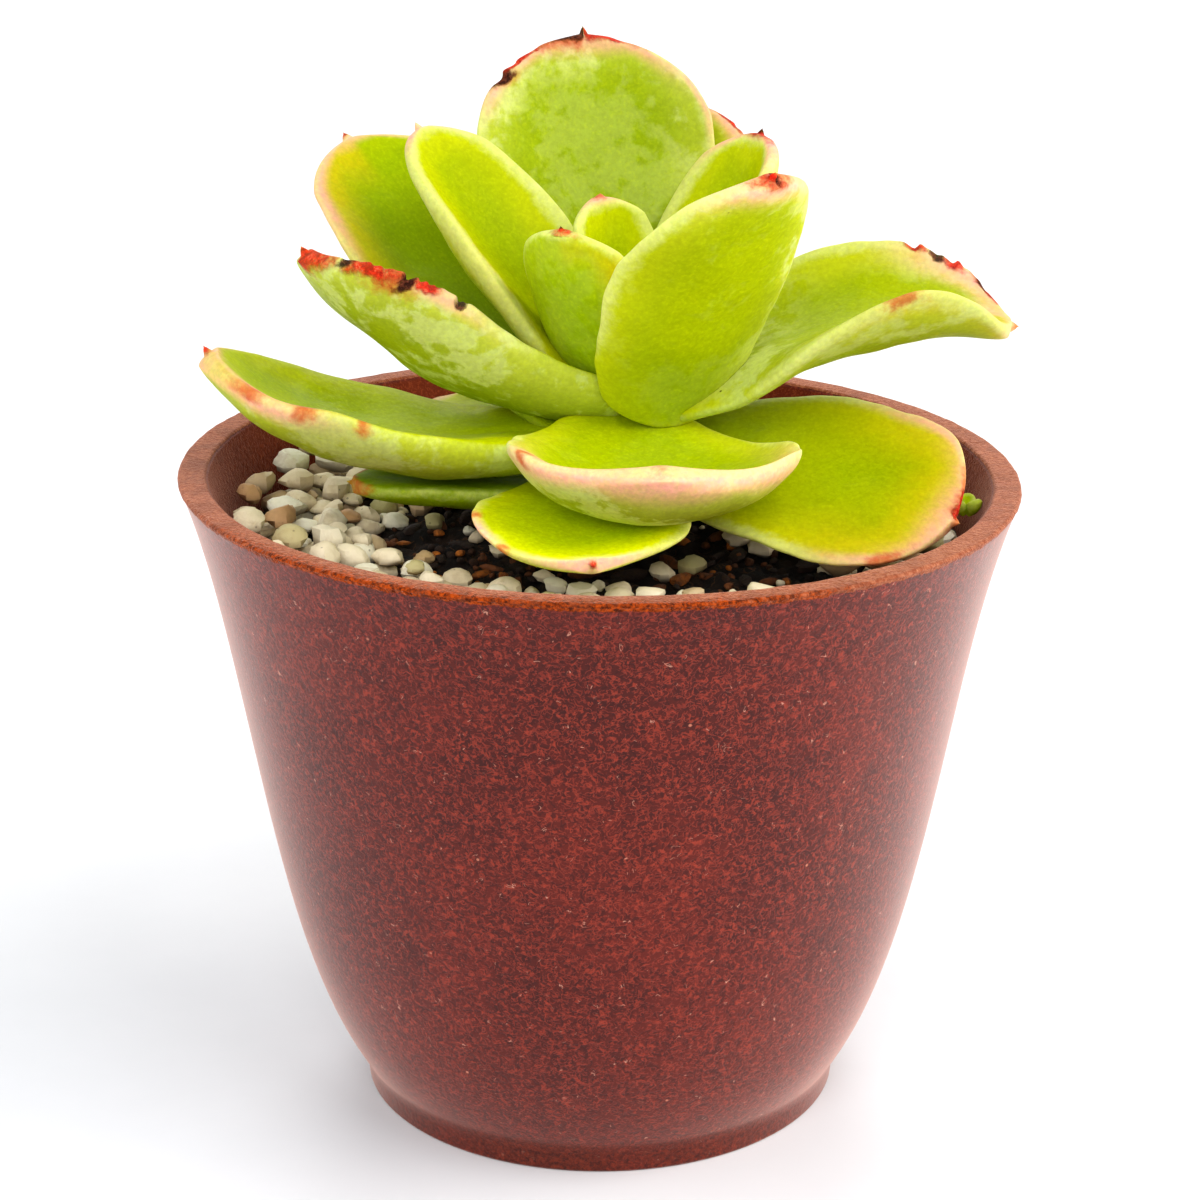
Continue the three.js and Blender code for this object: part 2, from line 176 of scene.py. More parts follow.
class Shading:
    """Adds nodes to one node tree, each by a short call that returns the node's output."""

    def __init__(self, tree):
        self.tree = tree

    def node(self, kind, inputs=(), output=0, **settings):
        """One new node: an input is a link if it is given a socket, and else a plain value."""
        made = self.tree.nodes.new(kind)
        for key, value in settings.items():
            setattr(made, key, value)
        for socket, value in dict(inputs).items():
            if isinstance(value, bpy.types.NodeSocket):
                self.tree.links.new(value, made.inputs[socket])
            elif value is not None:
                made.inputs[socket].default_value = value
        return made.outputs[output]

    def math(self, operation, first, second=0.0, clamp=False):
        values = {0: first, 1: second}
        return self.node("ShaderNodeMath", values, operation=operation, use_clamp=clamp)

    def add(self, first, second):
        return self.math("ADD", first, second)

    def times(self, first, second):
        return self.math("MULTIPLY", first, second)

    def less(self, first, second):
        return self.math("SUBTRACT", first, second)

    def ease(self, value, low, high, start=0.0, end=1.0):
        """start below low, end above high, and a smooth step between."""
        values = {0: value, 1: low, 2: high, 3: start, 4: end}
        return self.node("ShaderNodeMapRange", values, interpolation_type="SMOOTHSTEP")

    def mix(self, share, first, second, blend="MIX"):
        """One colour going over into another."""
        values = {0: share, 6: first, 7: second}
        return self.node("ShaderNodeMix", values, output=2, data_type="RGBA", blend_type=blend)

    def mask(self, name):
        """A number stored on the mesh's points."""
        return self.node("ShaderNodeAttribute", output=2, attribute_name=name)

    def place(self):
        """Object coordinates, in metres."""
        return self.node("ShaderNodeTexCoord", output=3)

    def noise(self, vector, scale, detail=3.0, rough=0.55, twist=0.0):
        values = {"Vector": vector, "Scale": scale, "Detail": detail, "Roughness": rough,
                  "Distortion": twist}
        return self.node("ShaderNodeTexNoise", values)

    def cells(self, vector, scale, output=0):
        """How far each point is from its cell's middle, or the cell's own random colour."""
        values = {"Vector": vector, "Scale": scale}
        return self.node("ShaderNodeTexVoronoi", values, output=output)

    def bump(self, height, strength, distance, normal=None):
        values = {"Strength": strength, "Distance": distance, "Height": height, "Normal": normal}
        return self.node("ShaderNodeBump", values)

    def group(self, tree, output=0, **inputs):
        """Places a shared group. Its inputs are given by name, with _ for a space."""
        made = self.tree.nodes.new("ShaderNodeGroup")
        made.node_tree = tree
        for key, value in inputs.items():
            socket = made.inputs[key.replace("_", " ")]
            if isinstance(value, bpy.types.NodeSocket):
                self.tree.links.new(value, socket)
            else:
                socket.default_value = value
        return made.outputs[output]


def shared_group(name, inputs, outputs, build):
    """A shader node group: build(shading, inputs) returns one socket for each output name."""
    tree = bpy.data.node_groups.new(name, "ShaderNodeTree")
    for socket, default in inputs.items():
        kind = "NodeSocketVector" if default is None else "NodeSocketFloat"
        made = tree.interface.new_socket(name=socket, in_out="INPUT", socket_type=kind)
        if default is not None:
            made.default_value = default
    for socket in outputs:
        tree.interface.new_socket(name=socket, in_out="OUTPUT", socket_type="NodeSocketFloat")
    entry = tree.nodes.new("NodeGroupInput")
    leave = tree.nodes.new("NodeGroupOutput")
    results = build(Shading(tree), {socket: entry.outputs[socket] for socket in inputs})
    for socket, result in zip(outputs, results):
        tree.links.new(result, leave.inputs[socket])
    return tree


def build_mottling(shading, given):
    """Ragged patches: strongly layered noise, cut off softly between two levels."""
    field = shading.noise(given["Vector"], given["Scale"], 7.0, 0.62, 0.6)
    return [shading.ease(field, given["Low"], given["High"])]


def build_specks(shading, given):
    """Small round dots in a random few of the cells that space is divided into."""
    near = shading.cells(given["Vector"], given["Scale"])
    colour = shading.cells(given["Vector"], given["Scale"], output=1)
    pick = shading.node("ShaderNodeSeparateColor", {0: colour})
    chosen = shading.ease(pick, given["Share"], shading.less(given["Share"], 0.02))
    dot = shading.ease(near, given["Size"], shading.times(given["Size"], 0.5))
    return [shading.times(chosen, dot)]


def build_fibres(shading, given):
    """Short curled threads: where noise crosses its middle level, broken up by more noise."""
    field = shading.noise(given["Vector"], given["Scale"], 2.0, 0.5, 0.8)
    line = shading.math("ABSOLUTE", shading.less(field, 0.5))
    thread = shading.ease(line, given["Width"], 0.0)
    breaks = shading.noise(given["Vector"], shading.times(given["Scale"], 1.7), 1.0, 0.5, 0.0)
    kept = shading.ease(breaks, given["Cover"], shading.add(given["Cover"], 0.06))
    return [shading.times(thread, kept)]


MOTTLING = shared_group(
    "mottling", {"Vector": None, "Scale": 100.0, "Low": 0.45, "High": 0.6}, ["Mask"], build_mottling)
SPECKS = shared_group(
    "specks", {"Vector": None, "Scale": 500.0, "Size": 0.2, "Share": 0.2}, ["Mask"], build_specks)
FIBRES = shared_group(
    "fibres", {"Vector": None, "Scale": 600.0, "Width": 0.02, "Cover": 0.5}, ["Mask"], build_fibres)


def new_material(name, **constants):
    """A Principled material, with values that are the same all over set on its own sockets."""
    material = bpy.data.materials.new(name)
    material.use_nodes = True
    shader = material.node_tree.nodes["Principled BSDF"]
    for key, value in constants.items():
        shader.inputs[key.replace("_", " ")].default_value = value
    shading = Shading(material.node_tree)

    def connect(socket, value):
        material.node_tree.links.new(value, shader.inputs[socket])

    return material, shading, connect


# ---- Materials -------------------------------------------------------------------------------


def leaf_flesh(shading, place, broad, patchy, ragged):
    """The sound skin's colour, and how thickly bloom lies on it."""
    margin = shading.mask("margin")

    # Green in the middle of the blade, yellow towards its margin.
    to_edge = shading.ease(shading.add(margin, shading.times(broad, 3.0)), 10.0, 2.0)
    flesh = shading.mix(to_edge, srgb(154, 172, 0), srgb(190, 197, 0))
    flesh = shading.mix(shading.times(broad, 0.4), flesh, srgb(182, 190, 0))
    flesh = shading.mix(shading.mask("green"), flesh, srgb(138, 172, 0))

    # Pale bloom, rubbed off in fine, wormy patches.
    powder = shading.less(shading.ease(margin, 12.0, 1.0, 1.0, 1.25), shading.times(patchy, 0.95))
    powder = shading.times(shading.mask("bloom"), powder)
    chalk = shading.times(shading.mask("chalk"), shading.less(1.15, patchy))
    powder = shading.math("ADD", powder, chalk, clamp=True)
    flesh = shading.mix(powder, flesh, srgb(202, 212, 122))

    # A golden flush well in from the margin, then the pale margin with its ragged border.
    gold = shading.times(shading.mask("gold"), shading.ease(ragged, -0.25, 0.25, 0.6, 1.0))
    flesh = shading.mix(shading.times(gold, 0.8), flesh, srgb(216, 186, 22))
    border = shading.add(margin, shading.times(ragged, 3.2))
    band = shading.mask("band")
    rim = shading.ease(border, shading.add(band, 1.2), shading.add(band, -1.0))
    flesh = shading.mix(shading.times(rim, 0.7), flesh, srgb(216, 221, 140))
    speckle = shading.ease(shading.noise(place, 2100.0, 1.0, 0.5), 0.5, 0.7)
    return shading.mix(shading.times(speckle, 0.14), flesh, srgb(218, 226, 24)), powder


def stressed(shading, flesh, ragged, scabby):
    """Pink, rust, red and scorched stretches laid over the flesh, each kept to its own place by
    a mask on the mesh: the new colour, and how red and how burnt the skin is."""
    pink = shading.times(shading.mask("pink"), shading.ease(ragged, -0.3, 0.2, 0.55, 1.0))
    flesh = shading.mix(pink, flesh, srgb(242, 172, 156))
    rust = shading.ease(shading.add(shading.mask("rust"), shading.times(ragged, 1.6)), 0.1, 1.1)
    rust = shading.times(rust, shading.ease(shading.mask("rust"), 0.0, 0.3))
    flesh = shading.mix(shading.times(rust, 0.85), flesh, srgb(196, 96, 48))
    red_mask = shading.add(shading.mask("red"), shading.times(ragged, 1.3))
    red = shading.ease(red_mask, 0.15, 0.85)
    red = shading.times(red, shading.ease(shading.mask("red"), 0.0, 0.12))
    sore = shading.mix(shading.ease(scabby, 0.36, 0.6), srgb(168, 18, 14), srgb(230, 42, 24))
    sore = shading.mix(shading.ease(scabby, 0.58, 0.68, 0.0, 0.6), sore, srgb(236, 136, 100))
    flesh = shading.mix(shading.times(red, 0.92), flesh, sore)
    burnt_mask = shading.add(shading.mask("scorch"), shading.times(ragged, 1.5))
    burnt = shading.ease(burnt_mask, 0.2, 0.7)
    burnt = shading.times(burnt, shading.ease(shading.mask("scorch"), 0.0, 0.12))
    char = shading.mix(shading.ease(scabby, 0.42, 0.62), srgb(40, 24, 24), srgb(128, 72, 54))
    return shading.mix(shading.times(burnt, 0.92), flesh, char), red, burnt


def leaf_material():
    """Waxy flesh: green to yellow, with pale bloom, a cream margin, and stress colours."""
    material, shading, connect = new_material(
        "leaf_flesh", Subsurface_Weight=0.3, Subsurface_Scale=0.0025,
        Subsurface_Radius=(0.7, 1.0, 0.25), Specular_IOR_Level=0.045)
    place = shading.place()
    broad = shading.ease(shading.noise(place, 62.0, 3.0, 0.5, 0.4), 0.36, 0.64)
    wormy = shading.noise(place, 430.0, 4.0, 0.55, 0.25)
    patchy = shading.ease(shading.add(wormy, shading.times(broad, 0.4)), 0.52, 0.78)
    ragged = shading.less(shading.noise(place, 520.0, 5.0, 0.68, 0.3), 0.5)
    scabby = shading.noise(place, 1000.0, 4.0, 0.7, 0.3)
    grain = shading.noise(place, 1200.0, 3.0, 0.65)

    flesh, powder = leaf_flesh(shading, place, broad, patchy, ragged)
    flesh, red, burnt = stressed(shading, flesh, ragged, scabby)
    dots = shading.group(SPECKS, Vector=place, Scale=240.0, Size=0.07, Share=0.06)
    flesh = shading.mix(shading.times(dots, shading.mask("dotted")), flesh, srgb(74, 56, 16))
    # Painted light and shade: each leaf's tone scales its brightness, raised for leaves in shade and
    # lowered for strongly lit ones; the grain varies it finely.
    tone = shading.times(shading.mask("tone"), shading.ease(grain, 0.3, 0.7, 0.92, 1.07))
    connect("Base Color", shading.node(
        "ShaderNodeVectorMath", {0: flesh, "Scale": tone}, operation="SCALE"))

    dull = shading.ease(shading.add(shading.times(powder, 0.5), burnt), 0.0, 1.0, 0.36, 0.6)
    connect("Roughness", shading.add(dull, shading.times(patchy, 0.06)))
    lumps = shading.add(shading.noise(place, 260.0, 3.0, 0.5), shading.times(patchy, 0.12))
    skin = shading.bump(grain, 0.2, 0.0002)
    skin = shading.bump(lumps, 0.25, 0.0010, skin)
    crust = shading.times(scabby, shading.add(burnt, shading.times(red, 0.7)))
    connect("Normal", shading.bump(crust, 1.0, 0.0012, skin))
    return material


def fibre_wall(shading, place, cloudy):
    """The colour of the pressed fibre, outside and inside, and three of the threads that make
    it: the bright, the fine and the dark."""
    shifted = shading.node("ShaderNodeVectorMath", {0: place, 1: (0.31, 0.17, 0.53)}, operation="ADD")
    dark = shading.group(FIBRES, Vector=place, Scale=520.0, Width=0.10, Cover=0.40)
    bright = shading.group(FIBRES, Vector=place, Scale=700.0, Width=0.055, Cover=0.45)
    fine = shading.group(FIBRES, Vector=shifted, Scale=1050.0, Width=0.075, Cover=0.42)
    pale = shading.group(FIBRES, Vector=shifted, Scale=420.0, Width=0.014, Cover=0.64)
    specks = shading.group(SPECKS, Vector=place, Scale=430.0, Size=0.13, Share=0.06)

    base = shading.mix(cloudy, srgb(78, 21, 15), srgb(101, 30, 20))
    # Painted against the light: the wall just above the foot is made redder, to hide the floor's pale
    # reflection on it.
    base = shading.mix(shading.times(shading.mask("shaded"), 0.5), base, srgb(104, 30, 14))
    base = shading.mix(shading.times(dark, 0.6), base, srgb(54, 14, 14))
    base = shading.mix(shading.times(fine, 0.55), base, srgb(154, 56, 40))
    base = shading.mix(shading.times(bright, 0.55), base, srgb(174, 66, 44))
    base = shading.mix(shading.times(pale, 0.8), base, srgb(214, 156, 134))
    base = shading.mix(shading.times(specks, 0.8), base, srgb(204, 130, 104))
    inside = shading.mix(shading.add(shading.times(fine, 0.4), shading.times(cloudy, 0.3)),
                         srgb(112, 46, 26), srgb(170, 86, 52))
    return shading.mix(shading.mask("inside"), base, inside), bright, fine, dark


def bare_rim(shading, place, ragged, gritty):
    """The rim's gritty brown, worn to rust along its front edge and scuffed darker in patches."""
    rim = shading.mix(gritty, srgb(138, 72, 46), srgb(180, 116, 86))
    worn_mask = shading.add(shading.mask("worn"), shading.times(ragged, 1.6))
    worn = shading.ease(worn_mask, 0.5, 1.0)
    rust = shading.mix(gritty, srgb(76, 30, 10), srgb(186, 80, 18))
    rim = shading.mix(worn, rim, rust)
    scuffs = shading.group(MOTTLING, Vector=place, Scale=210.0, Low=0.47, High=0.66)
    return shading.mix(shading.times(scuffs, 0.5), rim, srgb(112, 62, 44))


def pot_material():
    """Pressed plant fibre: dark red-brown, full of short curled threads, under a thin smooth
    glaze that shines at a slant. The worn rim and the inside have no glaze."""
    material, shading, connect = new_material(
        "pot_fibre", Specular_IOR_Level=0.08, Coat_Roughness=0.3, Coat_IOR=1.3,
        Sheen_Weight=0.55, Sheen_Roughness=0.35, Sheen_Tint=srgb(255, 200, 182))
    place = shading.place()
    cloudy = shading.ease(shading.noise(place, 32.0, 4.0, 0.6), 0.35, 0.65)
    wrinkled = shading.noise(place, 900.0, 3.0, 0.7, 0.8)
    ragged = shading.less(shading.noise(place, 620.0, 5.0, 0.72, 0.4), 0.5)
    gritty = shading.ease(shading.noise(place, 1700.0, 4.0, 0.75), 0.35, 0.65)
    lip = shading.ease(shading.add(shading.mask("rim"), shading.times(ragged, 1.3)), 0.5, 0.62)

    base, bright, fine, dark = fibre_wall(shading, place, cloudy)
    stained = shading.mix(gritty, srgb(58, 20, 13), srgb(124, 50, 28))
    stain = shading.times(shading.mask("foot"), shading.ease(cloudy, 0.0, 1.0, 0.8, 0.5))
    base = shading.mix(stain, base, stained)
    connect("Base Color", shading.mix(lip, base, bare_rim(shading, place, ragged, gritty)))

    bare = shading.math("MAXIMUM", shading.mask("inside"), lip)
    connect("Coat Weight", shading.less(1.0, bare))
    gloss = shading.add(shading.times(wrinkled, 0.2), shading.times(lip, 0.22))
    gloss = shading.add(gloss, shading.times(shading.mask("inside"), 0.3))
    connect("Roughness", shading.add(gloss, 0.26))
    relief = shading.add(shading.times(bright, 0.5), shading.times(fine, 0.4))
    relief = shading.add(relief, shading.times(dark, -0.4))
    relief = shading.add(relief, wrinkled)
    skin = shading.bump(relief, 0.5, 0.00025)
    connect("Normal", shading.bump(ragged, shading.times(lip, 0.3), 0.0007, skin))
    return material


def stone_material():
    """Matt pebbles: off-white, cream, tan, greenish or light brown by each stone's own tone,
    with faint stains, a darker brown towards each stone's foot and fine dark grit."""
    material, shading, connect = new_material("pebble_stone", Roughness=0.72)
    place = shading.place()
    tone = shading.mask("tone")
    pale = shading.mix(shading.ease(tone, 0.0, 0.35), srgb(246, 242, 222), srgb(234, 220, 190))
    pale = shading.mix(shading.ease(tone, 0.62, 0.82), pale, srgb(204, 178, 142))
    pale = shading.mix(shading.ease(tone, 0.84, 0.88), pale, srgb(196, 188, 138))
    pale = shading.mix(shading.ease(tone, 0.95, 0.98), pale, srgb(198, 158, 116))
    stain = shading.group(MOTTLING, Vector=place, Scale=240.0, Low=0.5, High=0.72)
    colour = shading.mix(shading.times(stain, 0.4), pale, srgb(168, 140, 98))
    # Darker brown towards each stone's foot.
    colour = shading.mix(shading.times(shading.mask("darker_foot"), 0.75), colour, srgb(92, 68, 46))
    grit = shading.group(SPECKS, Vector=place, Scale=900.0, Size=0.22, Share=0.12)
    connect("Base Color", shading.mix(shading.times(grit, 0.5), colour, srgb(96, 80, 66)))
    grain = shading.noise(place, 900.0, 5.0, 0.65)
    connect("Normal", shading.bump(grain, 0.5, 0.0005))
    return material


def soil_material():
    """Dark, crumbly potting soil with lighter fibres."""
    material, shading, connect = new_material("soil_dark", Roughness=0.92)
    place = shading.place()
    patches = shading.group(MOTTLING, Vector=place, Scale=260.0, Low=0.4, High=0.7)
    colour = shading.mix(patches, srgb(28, 20, 16), srgb(66, 46, 32))
    threads = shading.group(FIBRES, Vector=place, Scale=300.0, Width=0.03, Cover=0.5)
    connect("Base Color", shading.mix(shading.times(threads, 0.5), colour, srgb(128, 84, 46)))
    crumbs = shading.noise(place, 600.0, 8.0, 0.75)
    connect("Normal", shading.bump(crumbs, 1.0, 0.0020))
    return material


def bark_material():
    """Bark and fibre chips, from nearly black to orange-brown by each chip's tone."""
    material, shading, connect = new_material("bark_chip", Roughness=0.75)
    place = shading.place()
    tone = shading.mask("tone")
    colour = shading.mix(shading.ease(tone, 0.3, 0.8), srgb(48, 30, 20), srgb(116, 66, 28))
    colour = shading.mix(shading.ease(tone, 0.85, 0.95), colour, srgb(190, 112, 34))
    grain = shading.group(MOTTLING, Vector=place, Scale=900.0, Low=0.4, High=0.62)
    connect("Base Color", shading.mix(shading.times(grain, 0.5), colour, srgb(34, 22, 16)))
    connect("Normal", shading.bump(grain, 0.5, 0.0006))
    return material


def stem_material():
    """A short woody stem: pale green-brown with darker scars."""
    material, shading, connect = new_material("stem_bark", Roughness=0.7)
    place = shading.place()
    scars = shading.group(MOTTLING, Vector=place, Scale=320.0, Low=0.48, High=0.66)
    colour = shading.mix(scars, srgb(168, 170, 84), srgb(120, 92, 52))
    connect("Base Color", colour)
    connect("Normal", shading.bump(scars, 0.5, 0.0008))
    return material


def floor_material():
    """A plain pale table top with a barely seen grain."""
    material, shading, connect = new_material("pale_floor", Roughness=0.6)
    grain = shading.noise(shading.place(), 60.0, 4.0, 0.6)
    connect("Base Color", shading.mix(grain, srgb(229, 232, 235), srgb(234, 237, 240)))
    return material


# ---- Leaves ----------------------------------------------------------------------------------

# The same leaves as in the solid model, with what their skin shows.
#   Shape: `root` is where the leaf starts. `heading` is its direction seen from above, and `bend`
#   how far that turns by the tip. `rise` is its steepness at the root and the tip, and
#   `rise_shape` the power it changes by. `curl` is how far each half bends up, left and right,
#   and `roll` turns the leaf about its midrib. `widest` is the place of the full width along the
#   leaf, `neck` the width at the root as a share of it, `blunt` the power of the tip's outline
#   and `point` the size of its fine tip. `ripple` is a wave of the right half. `lifts` raise
#   stretches of margin: (side, share of the length, spread along it, height).
#   Skin: `bloom` is how powdery the inner and the outer face are, and `green` shifts the colour.
#   `tone` scales the leaf's brightness as painted light and shade: raised for a leaf that lies in
#   shade and lowered for one under strong light. `band` is the width of the cream margin and
#   `dotted` how many dark dots show. `marks` are stretches of margin that have changed colour:
#   (colour, side, share of the length, spread along it, reach inwards).
#   Angles are in degrees and sizes in millimetres. Side 1 is the left margin, -1 the right one
#   and 0 both.
PLAIN_LEAF = dict(
    thick=4.5, curl=(30, 30), roll=0, widest=0.62, neck=0.46, bend=0, rise_shape=1.0,
    blunt=2.1, point=0.3, ripple=0.0, lifts=(),
    bloom=(0.0, 0.5), green=0.0, tone=1.0, band=1.6, dotted=0.5, marks=())

